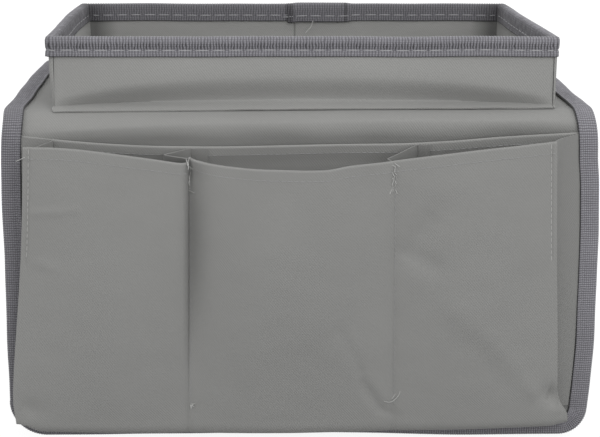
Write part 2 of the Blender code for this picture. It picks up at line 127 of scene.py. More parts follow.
class Side:
    """One side of the saddle: a flat top, a fold round an axis and a hanging flap."""

    def __init__(self, facing, cover):
        low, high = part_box(cover)
        top_low, top_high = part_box("top_cover")
        self.facing = facing
        self.face = low.y if facing < 0 else high.y
        self.axis_y = top_low.y - GAP / 2 if facing < 0 else top_high.y + GAP / 2
        self.radius = abs(self.face - self.axis_y)
        self.axis_z = TOP_Z - self.radius
        self.bottom = low.z
        self.flat = abs(self.axis_y - SPLIT_Y)
        self.bend = self.radius * math.pi / 2
        self.hang = self.axis_z - self.bottom
        self.length = self.flat + self.bend + self.hang

    def along(self, z):
        """How far along the cloth the flap's height z lies."""
        return self.flat + self.bend + self.axis_z - z

    def height(self, s):
        """The flap's height at a way s along the cloth."""
        return self.axis_z - (s - self.flat - self.bend)

    def outward(self, s):
        angle = min(max((s - self.flat) / self.radius, 0.0), math.pi / 2)
        return Vector((0, self.facing * math.sin(angle), math.cos(angle)))

    def point(self, s, x, out):
        if s <= self.flat:
            return Vector((x, SPLIT_Y + self.facing * s, TOP_Z + out))
        if s <= self.flat + self.bend:
            angle = (s - self.flat) / self.radius
            reach = self.radius + out
            return Vector((x, self.axis_y + self.facing * reach * math.sin(angle),
                           self.axis_z + reach * math.cos(angle)))
        return Vector((x, self.face + self.facing * out, self.height(s) - self.hang_low(s, x)))

    def corner(self, turn):
        """The radius of the flap's left (-1) or right (1) bottom corner."""
        return LEFT_CORNER_RADIUS if self.facing < 0 and turn < 0 else CORNER_RADIUS

    def reach(self, s, turn, inset=0.0):
        """The flap's edge to its left (-1) or right (1), further in at its rounded corner."""
        rise = max(self.height(s) - self.bottom - inset, 0.0)
        radius = self.corner(turn) - inset
        half = EDGE_X - inset
        if rise < radius:
            half += math.sqrt(max(radius ** 2 - (radius - rise) ** 2, 0.0)) - radius
        return turn * half

    def hang_low(self, s, x):
        """How far the front flap's lower right hangs below the solid's straight hem."""
        if self.facing > 0:
            return 0.0
        return LOW_HANG * smooth((x - 0.01) / 0.09) * smooth((s - self.length + 0.10) / 0.10)


FRONT = Side(-1, "front_cover")
BACK = Side(1, "back_cover")

# How far the front flap's lower right hangs below the solid's straight hem
LOW_HANG = 0.0027

# How far the saddle's sides wave out (+) or in (-) along the front, in millimetres by way along
LEFT_WAVE = [(0.0, 1.3), (0.05, 1.5), (0.09, 0.5), (0.108, 0.0), (0.143, -0.9), (0.168, -1.2),
             (0.180, -1.6), (0.194, -0.8), (0.213, -0.4), (0.236, 0.3), (0.259, 0.8), (0.282, 1.0),
             (0.306, 1.3), (0.330, 1.3), (0.345, 1.6), (0.362, 1.0)]
RIGHT_WAVE = [(0.0, 0.5), (0.07, 0.3), (0.093, -0.8), (0.112, -1.9), (0.147, -2.5), (0.168, -2.6),
              (0.180, -2.4), (0.194, -1.3), (0.203, -0.8), (0.214, 0.4), (0.237, 1.7), (0.261, 2.5),
              (0.285, 2.8), (0.309, 3.0), (0.333, 2.1), (0.345, 1.2), (0.362, 0.4)]


def mix(low, high, share):
    return low + (high - low) * share


def clamp(share):
    return min(max(share, 0.0), 1.0)


def smooth(share):
    share = clamp(share)
    return share * share * (3 - 2 * share)


def hump(distance, width):
    """A soft bump: 1 in its middle and nothing past about two widths."""
    return math.exp(-(distance / width) ** 2)


def steps(low, high, count):
    return [mix(low, high, k / count) for k in range(count + 1)]


def follow(knots, x):
    """A smooth curve through (x, value) knots, level past its ends."""
    if x <= knots[0][0]:
        return knots[0][1]
    if x >= knots[-1][0]:
        return knots[-1][1]
    for k in range(len(knots) - 1):
        if x <= knots[k + 1][0]:
            break
    before, after = knots[max(k - 1, 0)], knots[min(k + 2, len(knots) - 1)]
    (x0, y0), (x1, y1) = knots[k], knots[k + 1]
    span = x1 - x0
    slope0 = (y1 - before[1]) / (x1 - before[0]) * span
    slope1 = (after[1] - y0) / (after[0] - x0) * span
    t = (x - x0) / span
    return ((2 * t ** 3 - 3 * t ** 2 + 1) * y0 + (t ** 3 - 2 * t ** 2 + t) * slope0
            + (3 * t ** 2 - 2 * t ** 3) * y1 + (t ** 3 - t ** 2) * slope1)


def rumple(x, y, scale, layer):
    """Repeatable soft noise from -1 to 1 over features of about the scale."""
    return noise.noise(Vector((x / scale, y / scale, layer)))


def wave_out(side, s, x):
    """How far a point of the saddle moves sideways with the waving edge."""
    knots = LEFT_WAVE if x < 0 else RIGHT_WAVE
    wave = follow(knots, s) * MM if side is FRONT else knots[0][1] * MM * smooth(1 - s / 0.04)
    return (wave if x > 0 else -wave) * smooth((abs(x) - 0.10) / 0.06)


# The twill's slant in degrees, how much its ridges and hollows differ, and what share of its
# height the ridges, the warp threads and the weft threads have
TWILL_SLANT = 52.0
TWILL_CONTRAST = 0.068
RIDGE_SHARE, WARP_SHARE, WEFT_SHARE = 0.66, 0.2, 0.14
# How much the cloth's soiling, its slubs and its fibres change its shade
SOIL, SLUBS, FIBRES = 0.045, 0.045, 0.04


# Node trees

def add_node(tree, kind, inputs=None, **settings):
    """Adds a node, sets its settings, and fills or links the inputs named by socket or place."""
    made = tree.nodes.new(kind)
    for name, value in settings.items():
        setattr(made, name, value)
    for key, value in (inputs or {}).items():
        if isinstance(value, bpy.types.NodeSocket):
            tree.links.new(value, made.inputs[key])
        else:
            made.inputs[key].default_value = value
    return made


def maths(tree, operation, *values):
    made = add_node(tree, "ShaderNodeMath", dict(enumerate(values)), operation=operation)
    return made.outputs[0]


def vectors(tree, operation, *values):
    made = add_node(tree, "ShaderNodeVectorMath", dict(enumerate(values)), operation=operation)
    return made.outputs[0]


def scaled(tree, vector, factor):
    made = add_node(tree, "ShaderNodeVectorMath", {0: vector, "Scale": factor}, operation="SCALE")
    return made.outputs[0]


def parts_of(tree, vector):
    return add_node(tree, "ShaderNodeSeparateXYZ", {0: vector}).outputs


def waves(tree, distance, pitch):
    """A ripple from 0 to 1 that repeats every pitch."""
    turn = maths(tree, "MULTIPLY", distance, math.tau / pitch)
    return maths(tree, "MULTIPLY_ADD", maths(tree, "COSINE", turn), -0.5, 0.5)


def between(tree, low, high, share):
    """A number from low to high by a share."""
    return maths(tree, "MULTIPLY_ADD", share, high - low, low)


def ramp(tree, value, start, end, low, high):
    """A number that goes from low to high while the value goes from start to end."""
    made = add_node(tree, "ShaderNodeMapRange", {0: value, 1: start, 2: end, 3: low, 4: high})
    return made.outputs[0]


def away(tree, value, middle):
    """How far a value lies from a middle, either way."""
    return maths(tree, "ABSOLUTE", maths(tree, "SUBTRACT", value, middle))


def times(tree, shade, factor):
    return maths(tree, "MULTIPLY", shade, factor)


def new_material(name, roughness, sheen=0.0):
    material = bpy.data.materials.new(name)
    material.use_nodes = True
    shader = material.node_tree.nodes["Principled BSDF"]
    shader.inputs["Roughness"].default_value = roughness
    shader.inputs["Specular IOR Level"].default_value = 0.25
    shader.inputs["Sheen Weight"].default_value = sheen
    shader.inputs["Sheen Roughness"].default_value = 0.5
    return material, material.node_tree, shader


def colour_and_bump(tree, shader, colour, shade, height, distance):
    """Multiplies the colour by the shade and bumps the surface by the height."""
    tinted = scaled(tree, tuple(colour), shade)
    tree.links.new(tinted, shader.inputs["Base Color"])
    bump = add_node(tree, "ShaderNodeBump",
                    {"Height": height, "Distance": distance, "Strength": 1.0})
    tree.links.new(bump.outputs["Normal"], shader.inputs["Normal"])


def twill_material(name, colour, pitch, fold_highlight_and_wear=None, corners=False):
    """Twill: slanting ridges of weft crossed by fine warp threads, with faint slubs and soiling.

    Where the cloth is folded over, at that distance from its first edge, it is lighter: a painted
    highlight along the fold, and wear. The tray's rear cloth has painted shade in its corners,
    and a dark seam below the rim tape's lap.
    """
    material, tree, shader = new_material(name, 0.82, 0.12)
    uv = add_node(tree, "ShaderNodeUVMap", uv_map="UVMap").outputs[0]
    place = add_node(tree, "ShaderNodeTexCoord").outputs["Object"]
    across, down, _ = parts_of(tree, uv)
    fuzz = add_node(tree, "ShaderNodeTexNoise", {"Vector": uv, "Scale": 900.0, "Detail": 2.0})
    wander = maths(tree, "MULTIPLY", maths(tree, "SUBTRACT", fuzz.outputs[0], 0.5), pitch * 0.5)
    angle = math.radians(TWILL_SLANT)
    slope = maths(tree, "SUBTRACT", maths(tree, "MULTIPLY", across, math.sin(angle)),
                  maths(tree, "MULTIPLY", down, math.cos(angle)))
    ridge = waves(tree, maths(tree, "ADD", slope, wander), pitch)
    warp = waves(tree, across, pitch * 0.42)
    weft = waves(tree, down, pitch * 0.36)
    weave = maths(tree, "MULTIPLY_ADD", ridge, RIDGE_SHARE, maths(tree, "MULTIPLY", warp, WARP_SHARE))
    weave = maths(tree, "MULTIPLY_ADD", weft, WEFT_SHARE, weave)
    soil = add_node(tree, "ShaderNodeTexNoise", {"Vector": place, "Scale": 22.0, "Detail": 4.0})
    streak_place = add_node(tree, "ShaderNodeMapping", {0: uv, "Scale": (28.0, 900.0, 1.0)})
    streak = add_node(tree, "ShaderNodeTexNoise", {"Vector": streak_place.outputs[0], "Detail": 2.0})
    shade = between(tree, 1 - TWILL_CONTRAST, 1 + TWILL_CONTRAST, weave)
    shade = times(tree, shade, between(tree, 1 - SOIL, 1 + SOIL, soil.outputs[0]))
    shade = times(tree, shade, between(tree, 1 - SLUBS, 1 + SLUBS, streak.outputs[0]))
    shade = times(tree, shade, between(tree, 1 - FIBRES, 1 + FIBRES, fuzz.outputs[0]))
    # Painted highlight along the fold, partly wear: the cloth is lighter there.
    if fold_highlight_and_wear is not None:
        far = away(tree, down, fold_highlight_and_wear)
        shade = times(tree, shade, ramp(tree, far, 0.0003, 0.0010, 1.12, 1.0))
    # Painted shade: the rear cloth darkens towards the tray's corners. Its seam below the rim tape's lap
    # is a dark line.
    if corners:
        x = maths(tree, "SUBTRACT", parts_of(tree, place)[0], TRAY_MIDDLE_X)
        side = ramp(tree, maths(tree, "ABSOLUTE", x), TRAY_HALF_X - 0.021, TRAY_HALF_X - 0.007, 1.0, 0.45)
        seam = away(tree, x, BACK_SEAM_X - TRAY_MIDDLE_X)
        shade = times(tree, shade, ramp(tree, seam, 0.0002, 0.0009, 0.6, 1.0))
        shade = times(tree, shade, side)
    colour_and_bump(tree, shader, colour, shade, weave, 0.00010)
    return material


def tape_material(name, colour, pitch, width, inside=1.0, gathered_shade_line=0.0):
    """Woven tape: cross ribs, finer lengthwise threads, painted shadow on the selvedges and painted
    shade on the inner leg.

    Over its seam the tape may be gathered: its ribs are deeper and darker round that line, the
    darkness painted shade in their hollows.
    """
    material, tree, shader = new_material(name, 0.72, 0.15)
    uv = add_node(tree, "ShaderNodeUVMap", uv_map="UVMap").outputs[0]
    along, across, _ = parts_of(tree, uv)
    fuzz = add_node(tree, "ShaderNodeTexNoise", {"Vector": uv, "Scale": 1100.0, "Detail": 2.0})
    patch = add_node(tree, "ShaderNodeTexNoise", {"Vector": uv, "Scale": 260.0, "Detail": 2.0})
    loose = 1.1 if gathered_shade_line else 0.5
    wander = maths(tree, "MULTIPLY", maths(tree, "SUBTRACT", patch.outputs[0], 0.5), pitch * loose)
    rib = waves(tree, maths(tree, "ADD", along, wander), pitch)
    thread = between(tree, 0.6 if gathered_shade_line else 0.5, 1.0, waves(tree, across, 0.0012))
    weave = maths(tree, "MULTIPLY", maths(tree, "MULTIPLY_ADD", rib, 0.75, 0.25), thread)
    wear = add_node(tree, "ShaderNodeTexNoise", {"Vector": uv, "Scale": 60.0, "Detail": 3.0})
    shade = between(tree, 0.5 if gathered_shade_line else 0.42, 1.8 if gathered_shade_line else 1.95, weave)
    # Painted shade darkens the gathered ribs' hollows round the seam, and the tape a little below that
    # line.
    if gathered_shade_line:
        far = away(tree, across, gathered_shade_line)
        deep = ramp(tree, far, 0.0010, 0.0024, 1.0, 0.0)
        bunch = ramp(tree, patch.outputs[0], 0.38, 0.62, 0.55, 0.85)
        hollow_shade = maths(tree, "MULTIPLY", maths(tree, "SUBTRACT", 1.0, rib), bunch)
        dark = maths(tree, "MULTIPLY", deep, maths(tree, "MULTIPLY_ADD", hollow_shade, 0.75, 0.06))
        shade = times(tree, shade, maths(tree, "SUBTRACT", 1.0, dark))
        below = ramp(tree, across, gathered_shade_line - 0.0022, gathered_shade_line - 0.0012, 0.94, 1.0)
        shade = times(tree, shade, below)
    shade = times(tree, shade, between(tree, 0.88, 1.12, wear.outputs[0]))
    shade = times(tree, shade, between(tree, 0.80, 1.20, fuzz.outputs[0]))
    # Painted shadow: both selvedges are darkened.
    edge = maths(tree, "SUBTRACT", width / 2, away(tree, across, width / 2))
    shade = times(tree, shade, ramp(tree, edge, 0.0002, 0.0008, 0.35, 1.0))
    # Painted shade: the inner leg is darkened by the inside factor.
    shade = times(tree, shade, ramp(tree, across, width * 0.5, width * 0.6, 1.0, inside))
    place = parts_of(tree, add_node(tree, "ShaderNodeTexCoord").outputs["Object"])
    # Painted shade: the tape darkens towards the left.
    shade = times(tree, shade, ramp(tree, place[0], -0.16, -0.12, 0.80, 1.0))
    # Painted shade on the rim's back: where the tape is pinched at the lap, under its lapped end, and
    # towards the back corners.
    if gathered_shade_line:
        rear = ramp(tree, place[1], 0.060, 0.075, 0.0, 1.0)
        lap = away(tree, place[0], RIM_LAP[1] + 0.001)
        pinch = ramp(tree, lap, 0.0012, 0.0036, 0.5, 0.0)
        end = away(tree, place[0], RIM_LAP[0] + 0.0005)
        pinch = maths(tree, "ADD", pinch, ramp(tree, end, 0.0004, 0.0014, 0.45, 0.0))
        side = away(tree, place[0], TRAY_MIDDLE_X)
        pinch = maths(tree, "ADD", pinch, ramp(tree, side, 0.119, 0.134, 0.0, 0.42))
        dark = maths(tree, "MULTIPLY", rear, pinch)
        shade = times(tree, shade, maths(tree, "SUBTRACT", 1.0, dark))
    else:
        # The edge tapes are darker towards the bottom.
        shade = times(tree, shade, ramp(tree, place[2], -0.165, -0.08, 0.86, 1.0))
    colour_and_bump(tree, shader, colour, shade, weave, 0.0002)
    return material


def plain_material(name, colour, roughness, scale, spread, distance):
    """A plain fibrous finish: board, lining felt or thread."""
    material, tree, shader = new_material(name, roughness)
    place = add_node(tree, "ShaderNodeTexCoord").outputs["Object"]
    grain = add_node(tree, "ShaderNodeTexNoise", {"Vector": place, "Scale": scale, "Detail": 5.0})
    soil = add_node(tree, "ShaderNodeTexNoise", {"Vector": place, "Scale": scale / 18, "Detail": 2.0})
    shade = maths(tree, "MULTIPLY", between(tree, 1 - spread, 1 + spread, grain.outputs[0]),
                  between(tree, 1 - spread / 2, 1 + spread / 2, soil.outputs[0]))
    colour_and_bump(tree, shader, colour, shade, grain.outputs[0], distance)
    return material


def thread_material(name, colour, roughness=0.6):
    return plain_material(name, colour, roughness, 3000.0, 0.2, 0.00005)


def lining_material(name, colour):
    """Pressed lining cloth: a fine grid of dimples, as on bonded fabric."""
    material, tree, shader = new_material(name, 0.9, 0.08)
    uv = add_node(tree, "ShaderNodeUVMap", uv_map="UVMap").outputs[0]
    across, down, _ = parts_of(tree, uv)
    dimple = maths(tree, "MULTIPLY", waves(tree, across, 0.0016), waves(tree, down, 0.0016))
    fibre = add_node(tree, "ShaderNodeTexNoise", {"Vector": uv, "Scale": 600.0, "Detail": 4.0})
    height = maths(tree, "ADD", dimple, maths(tree, "MULTIPLY", fibre.outputs[0], 0.7))
    shade = maths(tree, "MULTIPLY", between(tree, 0.9, 1.08, dimple),
                  between(tree, 0.85, 1.15, fibre.outputs[0]))
    colour_and_bump(tree, shader, colour, shade, height, 0.00012)
    return material


# Meshes

def swap_mesh(obj):
    """Turns what the object's modifiers make into its own plain mesh."""
    depsgraph = bpy.context.evaluated_depsgraph_get()
    made = bpy.data.meshes.new_from_object(obj.evaluated_get(depsgraph), depsgraph=depsgraph)
    obj.modifiers.clear()
    made.name = obj.name
    obj.data = made
    return obj


def thicken(obj, thickness):
    solid = obj.modifiers.new("thickness", "SOLIDIFY")
    solid.thickness = thickness
    solid.offset = 0.0
    solid.use_even_offset = False
    swap_mesh(obj)
    obj.data.polygons.foreach_set("use_smooth", [True] * len(obj.data.polygons))
    obj.data.set_sharp_from_angle(angle=math.radians(60))
    return obj


def link_mesh(name, points, edges, faces):
    mesh = bpy.data.meshes.new(name)
    mesh.from_pydata(points, edges, faces)
    mesh.update()
    obj = bpy.data.objects.new(name, mesh)
    bpy.context.scene.collection.objects.link(obj)
    return obj


def lengths_along(lines):
    """How far along each stop of a row lies, on the average of all the rows."""
    reach = [0.0]
    for k in range(1, len(lines[0])):
        step = sum((line[k] - line[k - 1]).length for line in lines) / len(lines)
        reach.append(reach[-1] + step)
    return reach


def cut_size(rows):
    """The cloth's flat width, length and area before it was sewn."""
    width = max(sum((row[k] - row[k - 1]).length for k in range(1, len(row))) for row in rows)
    columns = list(zip(*rows))
    length = max(sum((line[k] - line[k - 1]).length for k in range(1, len(line)))
                 for line in columns)
    area = 0.0
    for here, there in zip(rows, rows[1:]):
        for a, b, c, d in zip(here, here[1:], there[1:], there):
            area += ((c - a).cross(d - b)).length / 2
    return (width, length), min(area, width * length)


def cloth_piece(name, rows, thickness, material):
    """A sheet of cloth from its middle surface, with its UV map in metres of cloth."""
    count = len(rows[0])
    points = [point for row in rows for point in row]
    faces = []
    for i in range(len(rows) - 1):
        for j in range(count - 1):
            here, there = i * count + j, (i + 1) * count + j
            faces.append((here, here + 1, there + 1, there))
    obj = link_mesh(name, points, [], faces)
    across, down = lengths_along(rows), lengths_along(list(zip(*rows)))
    layer = obj.data.uv_layers.new(name="UVMap")
    for loop in obj.data.loops:
        i, j = divmod(loop.vertex_index, count)
        layer.data[loop.index].uv = (across[j], down[i])
    obj.data.materials.append(material)
    return thicken(obj, thickness)


def declare_sheet(rows):
    flat, area = cut_size(rows)


def finish_piece(obj, nodes=(), body=None):
    if nodes:
        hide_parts(*nodes)
    if body:
        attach(obj, body)
    return obj


def bend_with_flap(obj, side):
    """Bakes the piece's place into its mesh."""
    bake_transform(obj)
    return obj


# Geometry Nodes: the woven tape and the stitch rows

def new_tree(name, sockets):
    """A Geometry Nodes tree with a geometry input and output and the named inputs."""
    tree = bpy.data.node_groups.new(name, "GeometryNodeTree")
    tree.interface.new_socket("Path", in_out="INPUT", socket_type="NodeSocketGeometry")
    tree.interface.new_socket("Mesh", in_out="OUTPUT", socket_type="NodeSocketGeometry")
    for label, kind, default in sockets:
        made = tree.interface.new_socket(label, in_out="INPUT", socket_type=kind)
        if default is not None:
            made.default_value = default
    return tree, add_node(tree, "NodeGroupInput"), add_node(tree, "NodeGroupOutput")


def end_tree(tree, group, result, output):
    real = add_node(tree, "GeometryNodeRealizeInstances", {0: result})
    dyed = add_node(tree, "GeometryNodeSetMaterial",
                    {"Geometry": real.outputs[0], "Material": group.outputs["Material"]})
    tree.links.new(dyed.outputs[0], output.inputs[0])


def set_inputs(modifier, **values):
    """Sets a Geometry Nodes modifier's inputs by the sockets' identifiers."""
    wanted = {name.replace("_", " ").title(): value for name, value in values.items()}
    for item in modifier.node_group.interface.items_tree:
        if item.item_type == "SOCKET" and item.name in wanted:
            modifier[item.identifier] = wanted.pop(item.name)
    if wanted:
        raise RuntimeError("no such inputs: " + ", ".join(wanted))


def attribute_of(tree, name, kind="FLOAT_VECTOR"):
    return add_node(tree, "GeometryNodeInputNamedAttribute", {"Name": name},
                    data_type=kind).outputs["Attribute"]


def pick(tree, geometry, value, index, kind="FLOAT_VECTOR"):
    """The value that a field has on one point of a geometry."""
    made = add_node(tree, "GeometryNodeSampleIndex", data_type=kind, domain="POINT")
    tree.links.new(geometry, made.inputs["Geometry"])
    tree.links.new(value, next(s for s in made.inputs if s.name == "Value" and s.enabled))
    tree.links.new(index, made.inputs["Index"])
    return next(s for s in made.outputs if s.enabled)


def tape_tree():
    """Sweeps a folded tape's section along a path and raises a rib across it at every pitch.

    The path's points carry the directions inward and outward and the extras: how far the outer
    leg stands off, how far its edge lifts, and how far the whole tape is raised. They also carry
    the depth that the tape may reach behind the path, which is small at a tight corner. The section's
    points are (in from the edge, out from the cover, share of the edge's lift), and carry push:
    the direction that a rib rises in, and the share of the stand-off.
    """
    tree, group, output = new_tree("woven_tape", [
        ("Section", "NodeSocketObject", None), ("Rib Pitch", "NodeSocketFloat", 0.0013),
        ("Rib Height", "NodeSocketFloat", 0.00012), ("Steps Per Rib", "NodeSocketFloat", 4.0),
        ("Material", "NodeSocketMaterial", None)])
    pitch = group.outputs["Rib Pitch"]
    curve = add_node(tree, "GeometryNodeMeshToCurve", {0: group.outputs["Path"]}).outputs[0]
    step = maths(tree, "DIVIDE", pitch, group.outputs["Steps Per Rib"])
    rings = add_node(tree, "GeometryNodeResampleCurve", {"Curve": curve, "Length": step},
                     mode="LENGTH").outputs[0]
    section = add_node(tree, "GeometryNodeObjectInfo", {0: group.outputs["Section"]})
    section = section.outputs["Geometry"]
    ring_count = add_node(tree, "GeometryNodeAttributeDomainSize", {0: rings}, component="CURVE")
    stop_count = add_node(tree, "GeometryNodeAttributeDomainSize", {0: section}, component="MESH")
    stops = stop_count.outputs["Point Count"]
    strip = add_node(tree, "GeometryNodeMeshGrid",
                     {"Vertices X": ring_count.outputs["Point Count"], "Vertices Y": stops})
    index = add_node(tree, "GeometryNodeInputIndex").outputs[0]
    ring = maths(tree, "FLOOR", maths(tree, "DIVIDE", maths(tree, "ADD", index, 0.5), stops))
    stop = maths(tree, "SUBTRACT", index, maths(tree, "MULTIPLY", ring, stops))
    position = add_node(tree, "GeometryNodeInputPosition").outputs[0]
    reach = add_node(tree, "GeometryNodeSplineParameter").outputs["Length"]
    place = pick(tree, rings, position, ring)
    inward = pick(tree, rings, attribute_of(tree, "inward"), ring)
    outward = pick(tree, rings, attribute_of(tree, "outward"), ring)
    stand, lift, raised = parts_of(tree, pick(tree, rings, attribute_of(tree, "extras"), ring))
    depth = pick(tree, rings, attribute_of(tree, "depth", "FLOAT"), ring, "FLOAT")
    gather = pick(tree, rings, attribute_of(tree, "gather", "FLOAT"), ring, "FLOAT")
    along = pick(tree, rings, reach, ring, "FLOAT")
    spot_in, spot_out, edge_share = parts_of(tree, pick(tree, section, position, stop))
    push_in, push_out, leg_share = parts_of(
        tree, pick(tree, section, attribute_of(tree, "push"), stop))
    across = pick(tree, section, attribute_of(tree, "across", "FLOAT"), stop, "FLOAT")
    turn = maths(tree, "DIVIDE", maths(tree, "MULTIPLY", along, math.tau), pitch)
    rib = maths(tree, "MULTIPLY_ADD", maths(tree, "COSINE", turn), -0.5, 0.5)
    rib = maths(tree, "MULTIPLY", maths(tree, "MULTIPLY", rib, group.outputs["Rib Height"]), gather)
    push = maths(tree, "ADD", rib, raised)
    total_in = maths(tree, "MULTIPLY_ADD", push_in, push, spot_in)
    total_out = maths(tree, "MULTIPLY_ADD", push_out, push, spot_out)
    total_out = maths(tree, "MULTIPLY_ADD", leg_share, stand, total_out)
    total_out = maths(tree, "MULTIPLY_ADD", edge_share, lift, total_out)
    total_out = maths(tree, "MAXIMUM", total_out, maths(tree, "MULTIPLY", depth, -1.0))
    spot = vectors(tree, "ADD", place, scaled(tree, inward, total_in))
    spot = vectors(tree, "ADD", spot, scaled(tree, outward, total_out))
    chart = add_node(tree, "ShaderNodeCombineXYZ", {0: along, 1: across}).outputs[0]
    marked = add_node(tree, "GeometryNodeStoreNamedAttribute",
                      {"Geometry": strip.outputs[0], "Name": "chart"},
                      data_type="FLOAT_VECTOR", domain="POINT")
    tree.links.new(chart, next(s for s in marked.inputs if s.name == "Value" and s.enabled))
    moved = add_node(tree, "GeometryNodeSetPosition",
                     {"Geometry": marked.outputs[0], "Position": spot})
    mapped = add_node(tree, "GeometryNodeStoreNamedAttribute",
                      {"Geometry": moved.outputs[0], "Name": "UVMap"},
                      data_type="FLOAT2", domain="CORNER")
    tree.links.new(attribute_of(tree, "chart"),
                   next(s for s in mapped.inputs if s.name == "Value" and s.enabled))
    end_tree(tree, group, mapped.outputs[0], output)
    return tree


def stitch_tree():
    """Lays a short thread at every pitch of the paths, each turned along its path."""
    tree, group, output = new_tree("stitch_row", [
        ("Pitch", "NodeSocketFloat", 0.004), ("Stitch Length", "NodeSocketFloat", 0.003),
        ("Thread Radius", "NodeSocketFloat", 0.0003), ("Spread", "NodeSocketFloat", 0.1),
        ("Seed", "NodeSocketInt", 1), ("Material", "NodeSocketMaterial", None)])
    curve = add_node(tree, "GeometryNodeMeshToCurve", {0: group.outputs["Path"]}).outputs[0]
    spots = add_node(tree, "GeometryNodeResampleCurve",
                     {"Curve": curve, "Length": group.outputs["Pitch"]}, mode="LENGTH").outputs[0]
    tangent = add_node(tree, "GeometryNodeInputTangent").outputs[0]
    turned = add_node(tree, "FunctionNodeAlignRotationToVector", {"Vector": tangent}, axis="X")
    thread = add_node(tree, "GeometryNodeMeshUVSphere",
                      {"Segments": 6, "Rings": 5, "Radius": 1.0})
    upright = add_node(tree, "GeometryNodeTransform", {0: thread.outputs[0],
                                                       "Rotation": (0, math.pi / 2, 0)})
    spread = group.outputs["Spread"]
    chance = add_node(tree, "FunctionNodeRandomValue",
                      {"Min": maths(tree, "SUBTRACT", 1.0, spread),
                       "Max": maths(tree, "ADD", 1.0, spread),
                       "Seed": group.outputs["Seed"]}, data_type="FLOAT")
    chance = next(s for s in chance.outputs if s.enabled)
    half = maths(tree, "MULTIPLY", maths(tree, "DIVIDE", group.outputs["Stitch Length"], 2.0),
                 chance)
    radius = group.outputs["Thread Radius"]
    size = add_node(tree, "ShaderNodeCombineXYZ", {0: half, 1: radius, 2: radius}).outputs[0]
    laid = add_node(tree, "GeometryNodeInstanceOnPoints",
                    {"Points": spots, "Instance": upright.outputs[0],
                     "Rotation": turned.outputs[0], "Scale": size})
    end_tree(tree, group, laid.outputs[0], output)
    return tree


TREES = {}


def shared_tree(name, make):
    if name not in TREES:
        TREES[name] = make()
    return TREES[name]


def line_mesh(name, lines):
    """Open chains of points as one mesh of edges."""
    points, edges = [], []
    for line in lines:
        first = len(points)
        points += list(line)
        edges += [(first + k, first + k + 1) for k in range(len(line) - 1)]
    return link_mesh(name, points, edges, [])


def store(mesh, name, kind, field, values):
    layer = mesh.attributes.new(name, kind, "POINT")
    layer.data.foreach_set(field, values)


class TapeStop:
    """A place on the bound edge, with the directions into the cloth and out from its face."""

    def __init__(self, place, inward, outward, stand=0.0, lift=0.0, raised=0.0, gather=1.0,
                 depth=1.0):
        self.place, self.inward, self.outward = place, inward, outward
        self.extras = (stand, lift, raised)
        self.gather, self.depth = gather, depth


def tape_profile(stack, outer, inner, dip, leg=TAPE_REACH, seam=EDGE_TAPE_SEAM):
    """The folded tape's middle line: outer leg, wrap and inner leg, dipping at its stitches.

    Each stop is (in from the edge, out from the cover, lift share, rib in, rib out, leg share).
    """
    low = -stack - inner
    wrap = GAP + TAPE / 2
    return [(leg, outer, 1.0, 0, 1, 1), (seam + 0.0011, outer + 0.00005, 0.45, 0, 1, 1),
            (seam, outer - dip, 0.25, 0, 1, 1), (seam - 0.0012, outer + 0.0001, 0.1, 0, 1, 1),
            (seam * 0.45, outer + 0.0002, 0, 0, 1, 1), (0.0006, outer + 0.0001, 0, 0, 1, 1),
            (-wrap * 0.75, outer * 0.6, 0, -0.7, 0.7, 0.8), (-wrap * 1.15, -stack * 0.15, 0, -1, 0, 0.3),
            (-wrap * 1.15, -stack * 0.8, 0, -1, 0, 0), (-wrap * 0.7, low * 0.93, 0, -0.7, -0.7, 0),
            (0.0006, low, 0, 0, -1, 0), (seam * 0.5, low, 0, 0, -1, 0),
            (seam, low + dip * 0.5, 0, 0, -1, 0), (TAPE_REACH, low, 0, 0, -1, 0)]


def profile_width(profile):
    return sum(math.dist(before[:2], after[:2]) for before, after in zip(profile, profile[1:]))


def section_object(name, profile):
    obj = link_mesh(name, [Vector(stop[:3]) for stop in profile],
                    [(k, k + 1) for k in range(len(profile) - 1)], [])
    store(obj.data, "push", "FLOAT_VECTOR", "vector", [v for stop in profile for v in stop[3:6]])
    reach = [0.0]
    for before, after in zip(profile, profile[1:]):
        reach.append(reach[-1] + math.hypot(after[0] - before[0], after[1] - before[1]))
    store(obj.data, "across", "FLOAT", "value", reach)
    return obj


def tape_piece(name, stops, profile, settings, material, pitch):
    obj = line_mesh(name, [[stop.place for stop in stops]])
    for key in ("inward", "outward", "extras"):
        store(obj.data, key, "FLOAT_VECTOR", "vector",
              [v for stop in stops for v in getattr(stop, key)])
    for key in ("gather", "depth"):
        store(obj.data, key, "FLOAT", "value", [getattr(stop, key) for stop in stops])
    section = section_object(name + "_section", profile)
    nodes = obj.modifiers.new("tape", "NODES")
    nodes.node_group = shared_tree("woven_tape", tape_tree)
    set_inputs(nodes, section=section, rib_pitch=pitch,
               rib_height=settings.rib_height, material=material)
    swap_mesh(obj)
    chart = obj.data.attributes.get("chart")
    if chart:
        obj.data.attributes.remove(chart)
    bpy.data.objects.remove(section, do_unlink=True)
    return thicken(obj, settings.thickness)


def stitch_piece(name, lines, settings, material, seed, pitch=None, length=None):
    obj = line_mesh(name, lines)
    nodes = obj.modifiers.new("stitches", "NODES")
    nodes.node_group = shared_tree("stitch_row", stitch_tree)
    set_inputs(nodes, pitch=pitch or settings.hem_pitch, stitch_length=length or settings.hem_length,
               thread_radius=settings.thread_radius, spread=settings.spread, seed=seed,
               material=material)
    swap_mesh(obj)
    obj.data.polygons.foreach_set("use_smooth", [True] * len(obj.data.polygons))
    return obj


# The saddle

# Soft dents in the front fold: (middle across, half width), in metres
FOLD_DENTS = [(-0.074, 0.022), (-0.012, 0.017), (0.043, 0.017), (0.112, 0.030)]
